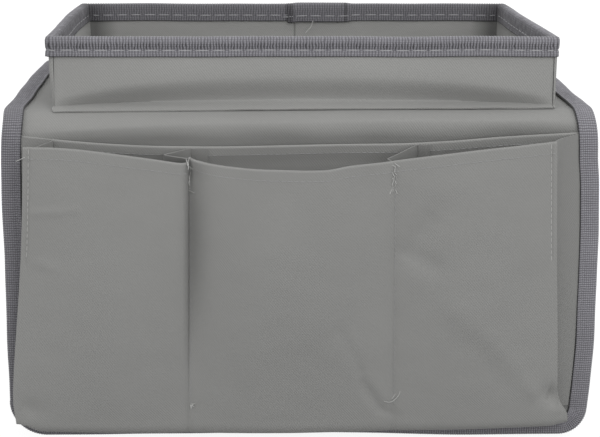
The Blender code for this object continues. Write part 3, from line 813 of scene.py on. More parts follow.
# The fold's ridge: (across, how far it swells out) in millimetres, (across, share of the bend)
FOLD_SWELL = [(-165, 0), (-150, 0.5), (-135, 1.2), (-102, 1.5), (-71, 1.7), (-11, 2.1), (45, 2.5),
              (119, 2.4), (141, 1.3), (160, 0)]
FOLD_RIDGE = [(-140, 0.84), (-102, 0.74), (-71, 0.67), (-11, 0.62), (45, 0.60)]
# By share of the bend: where the swell starts and ends, where the sinking below it is full,
# and where the cover lies on its stiffener again
SWELL_START_SHARE, SWELL_END_SHARE, SINK_SHARE, BOARD_SHARE = 0.14, 1.24, 1.26, 1.47
SWELL_SHARE = 0.92
# How far the cover sinks below the ridge, further at its right, and in each dent
FOLD_SINK, RIGHT_SINK, DENT_SINK = 0.0024, 0.0012, 0.0010
# The cover's ripples over the bend: (height, size, layer of the noise, how much finer they are
# along the cloth than across it)
RIPPLES = ((0.00040, 0.06, 1.5, 5), (0.00022, 0.05, 7.0, 9))
FINE_RIPPLE = 0.00008


def saddle_ripple(side, s, x):
    """How far the cover swells (+) or sinks (-) where no board stiffens it."""
    past = (s - side.flat) / side.bend
    soft = math.exp(-((past - 0.55) / 0.55) ** 2)
    ripple = 0.0
    for height, size, layer, finer in RIPPLES:
        ripple += height * rumple(x, s * finer, size, layer) * soft
    if side is FRONT:
        top = follow(FOLD_RIDGE, x / MM)
        if past < top:
            ridge = clamp((past - SWELL_START_SHARE) / (top - SWELL_START_SHARE)) ** 1.1
        else:
            ridge = clamp((SWELL_END_SHARE - past) / (SWELL_END_SHARE - top)) ** 1.1
        ripple += SWELL_SHARE * follow(FOLD_SWELL, x / MM) * MM * ridge
        inner = smooth((x + 0.160) / 0.05) * smooth((0.162 - x) / 0.012)
        back = smooth((BOARD_SHARE - past) / 0.20)
        ripple -= FOLD_SINK * inner * clamp((past - top) / (SINK_SHARE - top)) ** 1.2 * back
        right = smooth((x - 0.085) / 0.035) * smooth((0.157 - x) / 0.010)
        ripple -= RIGHT_SINK * right * smooth((past - top) / 0.36) * back
        low = hump(past - 1.12, 0.34) * back * inner
        for middle, width in FOLD_DENTS:
            ripple -= DENT_SINK * hump(x - middle, width) * low
    return ripple + FINE_RIPPLE * rumple(x, s, 0.02, 3.0)


def saddle_stops(side):
    """Ways along the cloth at which it gets a row of points, closer at the fold and corners."""
    flat_end, bend_end = side.flat, side.flat + side.bend
    stops = steps(0, flat_end - 0.003, max(int(side.flat / 0.004), 3))
    stops += steps(flat_end - 0.002, bend_end + 0.006, 44)
    turn = side.corner(-1)
    stops += steps(bend_end + 0.008, side.length - turn, 38)
    stops += [side.length - turn * (1 - math.sin(math.pi / 2 * k / 14)) for k in range(1, 15)]
    return stops


def saddle_rows(side, depth, inset, ripple_share):
    rows = []
    for s in saddle_stops(side):
        if side.height(s) < side.bottom + inset:
            s = side.along(side.bottom + inset)
        row = []
        for x in steps(side.reach(s, -1, inset), side.reach(s, 1, inset), CLOTH_COLUMNS):
            out = -depth + saddle_ripple(side, s, x) * ripple_share
            row.append(side.point(s, x + wave_out(side, s, x), out))
        rows.append(row)
    return rows


def saddle_nodes(layer, side):
    word = "front" if side is FRONT else "back"
    top = ["top_" + layer] if side is FRONT else []
    return top + [word + "_fold_" + layer, word + "_" + layer]


def make_saddle_cloth(settings):
    dye = twill_material("grey_twill_saddle", [1.03 * part for part in settings.colour],
                         settings.twill_pitch)
    for side, name in ((FRONT, "saddle_front_cover"), (BACK, "saddle_back_cover")):
        rows = saddle_rows(side, CLOTH / 2, 0.0, 1.0)
        obj = cloth_piece(name, rows, settings.thickness, dye)
        finish_piece(obj, saddle_nodes("cover", side))
        bend_with_flap(obj, side)
        declare_sheet(rows)


def make_saddle_lining(settings):
    dye = lining_material("lining_saddle", settings.lining_colour)
    for side, name in ((FRONT, "saddle_front_lining"), (BACK, "saddle_back_lining")):
        rows = saddle_rows(side, STACK - LINING / 2, EDGE_X - LINING_X, 0.5)
        obj = cloth_piece(name, rows, settings.lining_thickness, dye)
        finish_piece(obj, saddle_nodes("lining", side))
        bend_with_flap(obj, side)
        declare_sheet(rows)


def edge_stops(side):
    """The bound edge of one side: from the split over the left of the fold and round the flap."""
    stand_off = BACKING_OFFSET if side is FRONT else 0.0
    ways = steps(0, side.flat, max(int(side.flat / 0.006), 2))
    ways += steps(side.flat, side.flat + side.bend, 12)[1:]
    left, right = [], []
    for turn, into in ((-1, left), (1, right)):
        hang = steps(side.flat + side.bend, side.length - side.corner(turn), 40)[1:]
        for s in ways + hang:
            out = side.outward(s)
            hanging = smooth((s - side.flat) / side.bend)
            lift = 0.00055 + 0.0005 * abs(rumple(s, turn * 9, 0.035, 2.0))
            place = side.point(s, turn * EDGE_X + wave_out(side, s, turn * EDGE_X), 0)
            push = 0.0006 * rumple(s, turn * 5, 0.03, 8.0) * smooth((s - 0.02) / 0.03)
            place.x += turn * push
            into.append(TapeStop(place, Vector((-turn, 0, 0)), out, stand_off * hanging, lift))
    corner = []
    for turn, start in ((-1, 180), (1, 270)):
        radius = side.corner(turn)
        for k in range(0, 19):
            angle = math.radians(start + 5 * k)
            x = turn * (EDGE_X - radius) + radius * math.cos(angle)
            z = side.bottom + radius + radius * math.sin(angle)
            s = side.along(z)
            bunch = 1 + 2.2 * math.sin(math.radians(10 * k)) if 0 < k < 18 else 1
            corner.append(TapeStop(side.point(s, x + wave_out(side, s, x), 0),
                                   Vector((-math.cos(angle), 0, -math.sin(angle))),
                                   Vector((0, side.facing, 0)), stand_off, 0.0004, 0.0, bunch))
    bottom = []
    for x in steps(side.corner(-1) - EDGE_X, EDGE_X - side.corner(1), 40)[1:-1]:
        place = side.point(side.length, x, 0)
        place.z += 0.0005 * rumple(x, 4, 0.05, 4.0)
        bottom.append(TapeStop(place, Vector((0, 0, 1)), Vector((0, side.facing, 0)), stand_off, 0.0004))
    half = len(corner) // 2
    return left + corner[:half] + bottom + corner[half:] + right[::-1]


def make_edge_tapes(settings, stitches):
    profile = tape_profile(WRAPPED, GAP + TAPE / 2, GAP + TAPE / 2, 0.00025)
    dye = tape_material("binding_tape_edge", settings.colour, settings.rib_pitch,
                        profile_width(profile))
    thread = thread_material("thread_dark", stitches.tape_colour, 0.7)
    for side, word in ((FRONT, "front"), (BACK, "back")):
        stops = edge_stops(side)
        obj = tape_piece(word + "_edge_tape", stops, profile, settings, dye, settings.rib_pitch)
        nodes = [word + "_binding", word + "_fold_binding_left", word + "_fold_binding_right"]
        if side is FRONT:
            nodes += ["top_binding_left", "top_binding_right"]
        finish_piece(obj, nodes)
        bend_with_flap(obj, side)
        outer = [stop.place + stop.inward * EDGE_TAPE_SEAM
                 + stop.outward * (GAP + TAPE + stop.extras[0] + stop.extras[1] * 0.25 - STITCH_BITE)
                 for stop in stops]
        inner = [stop.place + stop.inward * EDGE_TAPE_SEAM
                 - stop.outward * (WRAPPED + GAP + TAPE - STITCH_BITE) for stop in stops]
        row = stitch_piece(word + "_edge_stitches", [outer, inner], stitches, thread, seed=11,
                           pitch=stitches.tape_pitch, length=stitches.tape_length)
        finish_piece(row)
        bend_with_flap(row, side)


# The tray

def tray_rise(z):
    """The share of the tray's height that a height has reached."""
    return clamp((z - TRAY_BASE) / (TRAY_TOP - TRAY_BASE))


def tray_place(x, y, z):
    """A point of the tray from its own middle: the whole tray sways back towards its rim."""
    return Vector((TRAY_MIDDLE_X + x, y + TRAY_SWAY * tray_rise(z), z))


def left_bow(y):
    """How far the left wall bows out at its rim."""
    return 0.0022 * hump(y - 0.020, 0.060)


def saddle_top(y):
    """Height of the saddle's cover on the top and over the start of its front fold."""
    past = clamp((FRONT.axis_y - y) / FRONT.radius)
    return FRONT.axis_z + FRONT.radius * math.sqrt(1 - past ** 2)


# A wall's slack: how far it swells out under the rim tape and sinks in at its fold, the fold's
# height in the middle and at the corners, and its half height, mm
WALL_SLACK = {"front": (1.5, 5.0, 10.3, 2.0, 7.8), "back": (0.6, 1.4, 13.0, 3.0, 6.0),
              "left": (0.5, 1.0, 12.0, 3.0, 6.0), "right": (0.5, 1.1, 12.0, 3.0, 6.0)}
# The lip of the seam allowance that the front wall turns out on the saddle: (across, y), mm
FRONT_LIP = [(-140, -93.2), (-130, -92.9), (-60, -91.8), (0, -90.9), (90, -90.0), (142, -89.5)]
# How far above the saddle a wall's cloth starts: the outer one over its turned out foot, in the
# middle and at the corners, and the inner one
OUTER_FOOT, INNER_FOOT = (0.0048, 0.0016), 0.0011
# How far the front wall's foot stands out from its plane: (share across, way), millimetres
FRONT_STANCE = [(0, 3.4), (0.12, 3.6), (0.5, 4.4), (0.88, 3.2), (1, 1.6)]


def wall_out(wall, share, z):
    """How far a tray wall's cloth stands out from its plane."""
    swell, sink, middle, end, half = WALL_SLACK[wall]
    side = abs(2 * share - 1)
    across = 1 - side ** 10
    half *= mix(1.0, 0.42, side ** 6)
    sink *= mix(1.0, 1.35, smooth((side - 0.2) / 0.5))
    rise = (z - TRAY_BASE) / MM
    top = (TRAY_TOP - RIM_LEG - TRAY_BASE) / MM
    fold = mix(middle, end, side ** 2.3)
    above = clamp((top + 2 - rise) / max(top - fold - half, 1.0))
    swell *= mix(0.35, 1.0, 1 - side ** 4)
    out = swell * mix(above, smooth(above), 0.5)
    if wall == "front":
        out += follow(FRONT_STANCE, share) * (1 - tray_rise(z)) ** 1.5
    out -= (sink + swell) * smooth((fold + half - rise) / (2 * half)) * across
    slack = 0.3 * rumple(share * 0.28, z, 0.03, sink) * across * smooth((top - rise) / 6)
    return (out + slack) * MM


def wall_z(share, up, outer):
    """Height of a wall's row: the outer cloth starts over its turned out foot."""
    side = abs(2 * share - 1)
    foot = mix(*OUTER_FOOT, side ** 1.5) if outer else INNER_FOOT
    return mix(TRAY_BASE + foot, TRAY_TOP - 0.0002, max(up, 0.0)), foot


def wall_shapes(row, outer):
    """The turned out foot, if any, and the wall over it."""
    foot = [row(-turn) for turn in (1.0, 0.9, 0.78, 0.64, 0.48, 0.3, 0.13)] if outer else []
    return foot + [row(k / 34) for k in range(35)]


def turn_out(place, lip, foot, turn):
    """Moves a place from the wall's foot out towards its lip on the saddle, by a share of the turn."""
    share = turn ** 2.0
    place.x, place.y = mix(place.x, lip[0], share), mix(place.y, lip[1], share)
    ripple = 0.0002 * rumple(place.x, place.y, 0.02, 1.0)
    place.z += saddle_top(place.y) - TOP_Z + (0.0006 + ripple - foot) * turn


def long_wall(wall, facing, depth, outer=False, trim=0.0):
    inset = depth + INNER_CORNER + GAP + trim

    def row(up):
        line = []
        for k in range(121):
            share = 0.5 - 0.5 * math.cos(math.pi * k / 120)
            z, foot = wall_z(share, up, outer)
            lean = TRAY_LEAN * tray_rise(z)
            x = mix(inset - TRAY_HALF_X - lean, TRAY_HALF_X - inset + lean, share)
            if outer:
                x = mix(SEAMS[-1], SEAMS[1], share) - TRAY_MIDDLE_X
            edge = min(share, 1 - share) * 2 * TRAY_HALF_X
            tuck = 0.00045 * hump(edge, 0.0010) if outer else 0.0004 * hump(edge, 0.0014)
            y = TRAY_HALF_Y - depth + lean + wall_out(wall, share, z) - tuck
            place = tray_place(x, facing * y, z)
            if up < 0:
                lip_y = follow(FRONT_LIP, place.x / MM) * MM + 0.0002 * rumple(place.x, 2, 0.02, 3.0)
                turn_out(place, (place.x, lip_y if facing < 0 else TRAY_HALF_Y + BACK_LIP), foot, -up)
            line.append(place)
        return line

    return wall_shapes(row, outer)


def end_wall(wall, facing, depth, outer=False):
    """A short wall's cloth turns both corners and ends at its seams on the long walls."""

    def row(up):
        z, foot = wall_z(0.0, up, outer)
        lean = TRAY_LEAN * tray_rise(z)
        face_x, face_y = TRAY_HALF_X - depth + lean, TRAY_HALF_Y - depth + lean
        radius = INNER_CORNER + lean
        seam_x = face_x - radius - 0.0003
        if outer:
            face_x = abs(CORNER_FACES[facing] - TRAY_MIDDLE_X)
            seam_x = abs(SEAMS[facing] - TRAY_MIDDLE_X) + GAP
            face_x -= 0.0003 * smooth((z - TRAY_TOP + 0.010) / 0.003)
            if facing < 0:
                face_x -= 0.0014 * smooth(1 - tray_rise(z) * 1.7)
                seam_x -= 0.0004 * smooth(1 - tray_rise(z) * 1.7)
            radius = min(TRAY_CORNER, face_x - seam_x - 0.0002)
        middle_x, middle_y = face_x - radius, face_y - radius
        sag = wall_out("front", FRONT_END_SHARE, z)
        line = [(x, -face_y - sag, 0, -1) for x in steps(seam_x, max(middle_x, seam_x + 0.0002), 4)[:-1]]
        for k in range(13):
            angle = math.radians(-90 + 7.5 * k)
            fade = 1 - k / 12
            line.append((middle_x + radius * math.cos(angle), radius * math.sin(angle) - middle_y
                         - sag * fade, math.cos(angle), math.sin(angle)))
        for y in steps(-middle_y, middle_y, 60)[1:-1]:
            share = 0.5 + y / (2 * middle_y)
            bulge = wall_out(wall, share, z)
            if facing < 0:
                bulge += left_bow(y) * tray_rise(z) ** 2
            line.append((face_x + bulge * smooth(min(share, 1 - share) / 0.05), y, 1, 0))
        for k in range(13):
            angle = math.radians(7.5 * k)
            line.append((middle_x + radius * math.cos(angle), middle_y + radius * math.sin(angle),
                         math.cos(angle), math.sin(angle)))
        for x in steps(max(middle_x, seam_x + 0.0002), seam_x, 4)[1:]:
            line.append((x, face_y, 0, 1))
        placed = []
        for x, y, out_x, out_y in line:
            place = tray_place(facing * x, y, z)
            if up < 0:
                front = follow(FRONT_LIP, place.x / MM) * MM
                lip_y = mix(place.y, front, -out_y) if out_y < 0 else place.y + BACK_LIP * out_y
                reach = 0.0003 if facing < 0 else -0.0007
                turn_out(place, (place.x + facing * reach * out_x, lip_y), foot, -up)
            placed.append(place)
        return placed

    return wall_shapes(row, outer)


def make_tray_walls(settings):
    # Painted light: the tray's walls are a lighter copy of the cloth colour, and their rear inner cloth
    # has painted shade in its corners.
    lit_tray_colour = [1.08 * part for part in settings.colour]
    dye = twill_material("grey_twill_tray", lit_tray_colour, settings.twill_pitch)
    corner_shaded = twill_material("grey_twill_tray_back", lit_tray_colour, settings.twill_pitch, corners=True)
    for wall, facing in (("front", -1), ("back", 1), ("left", -1), ("right", 1)):
        shape = long_wall if wall in ("front", "back") else end_wall
        for layer, depth in (("outer", CLOTH / 2), ("inner", STACK - CLOTH / 2)):
            rows = shape(wall, facing, depth, outer=layer == "outer")
            name = "tray_" + wall + "_" + layer
            cloth = corner_shaded if name == "tray_back_inner" else dye
            obj = cloth_piece(name + "_cloth", rows[::-1], settings.thickness, cloth)
            finish_piece(obj, [name], "saddle")
            declare_sheet(rows)


def make_boards(settings):
    """The tray's boards follow its walls, and the front one ends below the soft fold."""
    dye = plain_material("stiffener_board", settings.board_colour, 0.9, 700.0, 0.18, 0.0001)
    for name in ("top_board", "back_board"):
        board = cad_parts[name]
        for slot in board.material_slots:
            slot.material = dye
    depth = CLOTH + GAP + BOARD / 2
    low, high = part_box("front_board")
    inset = EDGE_X - high.x
    rows = []
    for z in steps(high.z - 0.0060, low.z + 0.0002, 60):
        s = FRONT.along(z)
        ends = [FRONT.reach(s, turn, inset) for turn in (-1, 1)]
        rows.append([Vector((mix(*ends, share), FRONT.face + depth, z)) for share in steps(0, 1, 30)])
    obj = cloth_piece("front_stiffener", rows, BOARD, dye)
    finish_piece(obj, ["front_board"], "front_flap")
    for wall, facing in (("front", -1), ("back", 1), ("left", -1), ("right", 1)):
        if wall in ("front", "back"):
            rows = long_wall(wall, facing, depth, trim=0.002)
        else:
            rows = [row[18:-18] for row in end_wall(wall, facing, depth)]
        obj = cloth_piece("tray_" + wall + "_stiffener", rows, BOARD, dye)
        finish_piece(obj, ["tray_" + wall + "_board"], "saddle")


def rim_outline():
    """The rim from above, from the back wall's middle round by the left: (x, y, outward)."""
    half_x, half_y = TRAY_HALF_X + TRAY_LEAN, TRAY_HALF_Y + TRAY_LEAN
    places = []

    def corner(side_x, side_y, start):
        for k in range(13):
            angle = math.radians(start + 7.5 * k)
            out = Vector((math.cos(angle), math.sin(angle), 0))
            places.append((side_x * (half_x - RIM_CORNER) + RIM_CORNER * out.x,
                           side_y * (half_y - RIM_CORNER) + RIM_CORNER * out.y, out, True))

    def straight(start, end, out, count):
        length = math.dist(start, end)
        near = 0.0017 / length
        for share in [near] + [k / count for k in range(1, count)] + [1 - near]:
            places.append((*[mix(a, b, share) for a, b in zip(start, end)], Vector(out), False))

    reach_x, reach_y = half_x - RIM_CORNER, half_y - RIM_CORNER
    start_x, end_x = (x - TRAY_MIDDLE_X for x in RIM_LAP)
    places.append((start_x, half_y, Vector((0, 1, 0)), False))
    straight((start_x, half_y), (-reach_x, half_y), (0, 1, 0), 40)
    corner(-1, 1, 90)
    straight((-half_x, reach_y), (-half_x, -reach_y), (-1, 0, 0), 36)
    corner(-1, -1, 180)
    straight((-reach_x, -half_y), (reach_x, -half_y), (0, -1, 0), 60)
    corner(1, -1, 270)
    straight((half_x, -reach_y), (half_x, reach_y), (1, 0, 0), 36)
    corner(1, 1, 0)
    straight((reach_x, half_y), (end_x, half_y), (0, 1, 0), 60)
    places.append((end_x, half_y, Vector((0, 1, 0)), False))
    return places


def rim_stops():
    places = rim_outline()
    stops = []
    for k, (x, y, out, turning) in enumerate(places):
        lapping = k > len(places) // 2 and y > TRAY_HALF_Y
        at_x = x + TRAY_MIDDLE_X
        raised = (TAPE + GAP) * smooth((RIM_LAP[0] + 0.006 - at_x) / 0.006) if lapping else 0.0
        pinch = hump(at_x - RIM_LAP[1] - 0.001, 0.003) if lapping else 0.0
        wander = rumple(x * 1.3, y, 0.05, 6.0)
        place = tray_place(x, y, TRAY_TOP) + out * (0.0003 * rumple(y * 1.3, x, 0.04, 2.0))
        place.x -= left_bow(y) * max(-out.x, 0)
        place.z += 0.00035 * wander + 0.0004 * smooth(y / 0.08) - 0.0007 * pinch - 0.45 * raised
        bunched = 1.9 if turning else 1.0 + 0.9 * hump(abs(x) - TRAY_HALF_X + 0.008, 0.008)
        down = Vector((-out.x * 0.045, -out.y * 0.045, -1))
        stops.append(TapeStop(place, down, out, 0.0, 0.0005 + 0.0003 * wander, raised,
                              bunched + 1.5 * pinch, RIM_CORNER - 0.0003 if turning else 1.0))
    return stops


def make_rim_tape(settings, stitches):
    profile = tape_profile(STACK, GAP + TAPE / 2, GAP + TAPE / 2, 0.0004, RIM_LEG, RIM_TAPE_SEAM)
    # Painted shade: the rim tape is a darker copy of the tape colour, and its inner leg is darker still.
    dye = tape_material("binding_tape_rim", [0.92 * part for part in settings.colour],
                        settings.rim_rib_pitch, profile_width(profile), 0.66,
                        RIM_LEG - RIM_TAPE_SEAM + 0.0026)
    thread = thread_material("thread_pale", stitches.rim_colour)
    stops = rim_stops()
    obj = tape_piece("tray_rim_tape", stops, profile, settings, dye, settings.rim_rib_pitch)
    finish_piece(obj, ["tray_binding"], "saddle")
    outer, inner = [], []
    for stop in stops:
        over = stop.extras[2]
        outer.append(stop.place + stop.inward * RIM_TAPE_SEAM
                     + stop.outward * (GAP + TAPE + over + stop.extras[1] * 0.25 - STITCH_BITE))
        inner.append(stop.place + stop.inward * RIM_TAPE_SEAM
                     - stop.outward * (STACK + GAP + TAPE + over - STITCH_BITE))
    row = stitch_piece("tray_rim_stitches", [outer, inner], stitches, thread, seed=5,
                       pitch=stitches.rim_pitch, length=stitches.rim_length)
    finish_piece(row, (), "saddle")


# The pockets

# Hem of the rear layer, mouths of the pockets: (across, height), millimetres
REAR_HEM = [(-164, -7.6), (-155, -8.4), (-132, -10.7), (-110, -12.5), (-89, -13.7), (-61, -14.6),
            (-44, -14.5), (-10, -13.9), (21, -13.3), (54, -13.0), (82, -11.7), (110, -9.6),
            (153, -7.5), (164, -7.0)]
MOUTH_HEIGHTS = [
    [(-149.4, -11.6), (-128, -11.7), (-104, -13.9), (-84, -16.5), (-66, -19.2), (-61.9, -19.4)],
    [(-61.5, -16.8), (-48.7, -19.6), (-31, -21.1), (-16, -21.6), (11, -21.7), (24.7, -19.9),
     (47.8, -18.4)],
    [(48.2, -18.2), (60.8, -16.4), (78, -14.3), (99, -12.0), (120, -10.1), (136, -8.8)]]
MOUTH_REACHES = [
    [(-149.4, 20), (-128, 22), (-104, 25), (-84, 26), (-66, 25.2), (-61.9, 24.6)],
    [(-61.5, 25.2), (-48.7, 27), (-31, 31), (-16, 33), (11, 34), (24.7, 31), (47.8, 27)],
    [(48.2, 26.8), (60.8, 27.4), (78, 27.6), (99, 26.6), (120, 25), (136, 23)]]
# Edges and divider seams of the panel by share of the way down: (share, across), millimetres
PANEL_LINES = [[(0, -149.4), (0.18, -151.2), (0.36, -153.4), (0.54, -156.4), (0.80, -161.2),
                (0.92, -162.6), (1, -161.6)],
               [(0, -61.7), (1, -64.4)], [(0, 48.0), (1, 51.6)],
               [(0, 136.0), (0.38, 139.8), (0.7, 143.6), (0.89, 145.8), (0.94, 147.8), (0.975, 151.6),
                (1, 152.6)]]
# Creases of the panel: (start across, height, end across, height, half width, rise), millimetres
CREASES = [(82, -100, 108, -124, 8, 0.7), (108, -124, 129, -152, 6.5, 0.8),
           (129, -152, 151, -169, 5, 1.1), (60, -71, 76, -79, 6, -1.1), (72, -46, 54, -74, 7, -1.5),
           (20, -113, 32, -138, 2.8, -0.6), (32, -138, 35, -149, 2.5, -0.8), (35, -149, 46, -167, 3, -1.3),
           (46, -167, 60, -174, 3.2, -0.9), (40, -147, 53, -165, 5, 0.5), (90, -118, 112, -142, 10, -0.4),
           (-149, -47, -132, -46, 2.2, 0.6), (-132, -46, -121, -44, 2.0, 0.4),
           (-146, -75, -134, -78, 3.0, 0.5), (-158, -160, -150, -164, 6, -1.0),
           (140, -157, 147, -158, 6.0, -5.2), (-30, -60, 10, -120, 22, 0.8),
           (-110, -70, -96, -140, 24, 0.7), (-75, -30, -71, -90, 6, 0.6)]
# The panel's reach from the flap's face: at its foot, its belly there and its belly half way down
FOOT_REACH, FOOT_BELLY, MIDDLE_BELLY = 11.5, 2.2, 3.2
# The valley right of the left divider: depth at the mouth and below it, and half width, mm
VALLEY_MOUTH, VALLEY_DEPTH, VALLEY_HALF = 5.8, 8.0, 8.6
NOTCH_DEPTH = 2.6
# How far the divider seams pull the panel in, left and right, mm
LEFT_PULL, RIGHT_PULL = 0.6, 0.9
# The sewn lines of the panel's two edges: how far in from the edge, its half width and depth, mm
EDGE_SEAM = (3.0, 0.9, 0.7)


def crease_rise(x, z):
    """The panel's creases and swells at a place, in millimetres."""
    total = 0.0
    for x0, z0, x1, z1, width, rise in CREASES:
        run_x, run_z = x1 - x0, z1 - z0
        size = run_x ** 2 + run_z ** 2
        share = ((x - x0) * run_x + (z - z0) * run_z) / size
        near = clamp(share)
        off = math.hypot(x - x0 - run_x * near, z - z0 - run_z * near)
        fade = smooth(0.15 + min(share, 1 - share) * 3 + 0.35) if 0 < share < 1 else 0.5
        total += rise * math.exp(-(off / width) ** 2) * fade
    return total


def panel_line(line, down):
    return follow(PANEL_LINES[line], down)


def panel_place(pocket, across, down):
    """A point of the pockets' front panel, to the middle of its cloth."""
    mouth_x = mix(PANEL_LINES[pocket][0][1], PANEL_LINES[pocket + 1][0][1], across)
    x = mix(panel_line(pocket, down), panel_line(pocket + 1, down), across)
    mouth_z = follow(MOUTH_HEIGHTS[pocket], mouth_x)
    z = mix(mouth_z, FLOOR_Z / MM, down)
    belly = math.sin(math.pi * across)
    mouth = follow(MOUTH_REACHES[pocket], mouth_x)
    reach = mix(mouth, FOOT_REACH + FOOT_BELLY * belly, down)
    reach += MIDDLE_BELLY * belly * math.sin(math.pi * down)
    left, right = x - panel_line(1, down), x - panel_line(2, down)
    fade = 1 - smooth((down - 0.30) / 0.62)
    if pocket == 1 or (pocket == 0 and across == 1):
        valley = mix(VALLEY_MOUTH, VALLEY_DEPTH, smooth((down - 0.04) / 0.20))
        reach -= valley * hump(max(left, 0), VALLEY_HALF) * fade * smooth(down / 0.09 + 0.25)
        reach -= NOTCH_DEPTH * hump(left - 1.0, 1.2) * math.exp(-(down / 0.085) ** 2)
    elif pocket == 0:
        reach -= 1.0 * hump(left, 2.5) * fade
        reach += 0.7 * hump(left + 6, 5) * fade
    reach -= RIGHT_PULL * math.exp(-abs(right) / 2.2)
    reach -= LEFT_PULL * math.exp(-abs(left) / 1.8)
    if pocket != 1:
        far, half, depth = EDGE_SEAM
        sewn = (panel_line(3, down) - x if pocket else x - panel_line(0, down)) - far
        reach -= depth * hump(sewn, half) * smooth((0.44 - down) / 0.06)
    inner = smooth(down / 0.05) * smooth((1 - down) / 0.05)
    edge = smooth((x - panel_line(0, down)) / 8) * smooth((panel_line(3, down) - x) / 8)
    reach += crease_rise(x, z) * inner * mix(0.35, 1.0, edge)
    reach += 0.55 * rumple(x, z, 42, 3.0) * edge + 0.22 * rumple(x, z, 13, 9.0) * edge
    reach += 0.5 * rumple(x, 0, 24, 4.0) * math.exp(-down / 0.06)
    return Vector((x * MM, FRONT.face - reach * MM, z * MM))


def panel_columns():
    """The panel's columns of points by pocket, closer at the left divider and the right edge."""
    columns = [(0, share) for share in steps(0, 0.06, 12)[:-1] + steps(0.06, 1, 51)]
    columns += [(1, share) for share in steps(0, 0.045, 12)[1:] + steps(0.06, 1, 57)]
    return columns + [(2, share) for share in steps(0, 0.93, 49)[1:] + steps(0.94, 1, 12)]


def floor_sag(x):
    """The panel's foot hangs lowest in its middle and is tucked up at its corners."""
    left, right = PANEL_LINES[0][-1][1] * MM, PANEL_LINES[3][-1][1] * MM
    middle, half = (left + right) / 2, (right - left) / 2
    share = abs(x - middle) / half
    wide, deep = (0.014, 0.80) if x < middle else (0.010, 0.33)
    tuck = smooth((share * half - half + wide) / wide)
    return 0.0085 * (1 - share ** 2 / 3) * (1 - tuck * deep)


def panel_rows():
    """The panel from its turned hem behind the mouth, over the mouth and down to its foot."""
    columns = panel_columns()
    downs = [k / 400 for k in range(1, 5)] + [0.0125 + 0.9875 * (k / 100) for k in range(101)]
    face = [[panel_place(pocket, across, down) for pocket, across in columns] for down in [0] + downs]
    rows = []
    mouth = face[0]
    for drop in (HEM_DEPTH, HEM_DEPTH * 0.66, HEM_DEPTH * 0.33, HEM_TURN * 1.4):
        share = drop / PANEL_DROP
        rows.append([panel_place(pocket, across, share) + Vector((0, 2 * HEM_TURN, 0))
                     for pocket, across in columns])
    for k in range(1, 5):
        angle = math.pi * k / 5
        rows.append([p + Vector((0, HEM_TURN * (1 + math.cos(angle)), HEM_TURN * math.sin(angle) * 0.8))
                     for p in mouth])
    rows += face
    foot = face[-1]
    for k in range(1, 13):
        angle = math.pi * k / 12
        row = []
        for point in foot:
            reach = (POCKET_AXIS_Y - point.y) / 2
            row.append(Vector((point.x, point.y + reach * (1 - math.cos(angle)),
                               FLOOR_Z - floor_sag(point.x) * math.sin(angle))))
        rows.append(row)
    return rows


def make_pocket_panel(settings):
    # The mouth's turned hem gets a painted highlight along its fold, with some wear.
    dye = twill_material("grey_twill_pocket", settings.colour, settings.twill_pitch,
                         fold_highlight_and_wear=HEM_DEPTH + HEM_TURN * 0.3)
    rows = panel_rows()
    obj = cloth_piece("pocket_front_cloth", rows, settings.thickness * 0.8, dye)
    finish_piece(obj, ["pocket_panel"], "pocket_front")
    declare_sheet(rows)


def backing_out(x, down):
    inside = max(0.0, 1 - (x / LINING_X) ** 4)
    sewn_down = 1 - 0.8 * hump(x - PLEATS[2][3], 0.014)
    stand = 0.0018 * inside * sewn_down * math.exp(-down * BACKING_DROP / 0.010)
    return BACKING_OFFSET - CLOTH / 2 + stand + 0.0002 * rumple(x, down, 0.03, 5.0) * (1 - down)


def hem_rise(drop):
    """How far the backing stands out over its turned hem, at a way below its top edge."""
    return BACKING_HEM_STAND * smooth((BACKING_HEM - drop) / 0.0015)


def hem_stand(x, drop):
    """The same across the backing: its hem lies flat next to the edge tapes."""
    return hem_rise(drop) * smooth((0.1535 - abs(x)) / 0.004)


def rear_hem(x):
    return follow(REAR_HEM, x / MM) * MM


def make_pocket_backing(settings):
    """The sheet behind the pockets, with its hem turned to the back."""
    # The backing's turned hem gets a painted highlight along its fold, with some wear.
    dye = twill_material("grey_twill_backing", settings.colour, settings.twill_pitch,
                         fold_highlight_and_wear=0.0064)
    placed = []
    hem = [(0.006, 1.0), (0.004, 1.0), (0.002, 1.0), (0.0006, 0.95), (0.0001, 0.7), (-0.0001, 0.35),
           (0.0001, 0.0)]
    drops = [0.0008, 0.002, 0.0035, 0.005, 0.007] + [0.007 + 0.165 * k / 44 for k in range(1, 45)]
    for drop, behind in hem + [(drop, 0.0) for drop in drops]:
        down = drop / BACKING_DROP
        row = []
        for share in steps(-1, 1, CLOTH_COLUMNS):
            z = max(rear_hem(share * EDGE_X) - drop, FRONT.bottom + 0.0002)
            x = mix(*[FRONT.reach(FRONT.along(z), turn) for turn in (-1, 1)], (share + 1) / 2)
            s = FRONT.along(min(z, FRONT.axis_z))
            place = FRONT.point(FRONT.along(z), x + wave_out(FRONT, s, x), 0)
            place.y = FRONT.face - backing_out(x, down) - hem_stand(x, drop) * (1 - behind)
            row.append(place)
        placed.append(row)
    obj = cloth_piece("pocket_backing_cloth", placed, settings.thickness, dye)
    finish_piece(obj, ["pocket_backing"], "front_flap")
    declare_sheet(placed)


def pleat_fold(rear, front, side, web, share):
    """Where a pleat folds: to one side, so that its two legs add up to the cloth's width."""
    middle = rear.lerp(front, share)
    near, far = 0.0, web
    for _ in range(24):
        reach = (near + far) / 2
        spot = Vector((middle.x + side * reach, middle.y))
        if (spot - rear).length + (front - spot).length > web:
            far = reach
        else:
            near = reach
    return Vector((middle.x + side * near, middle.y))


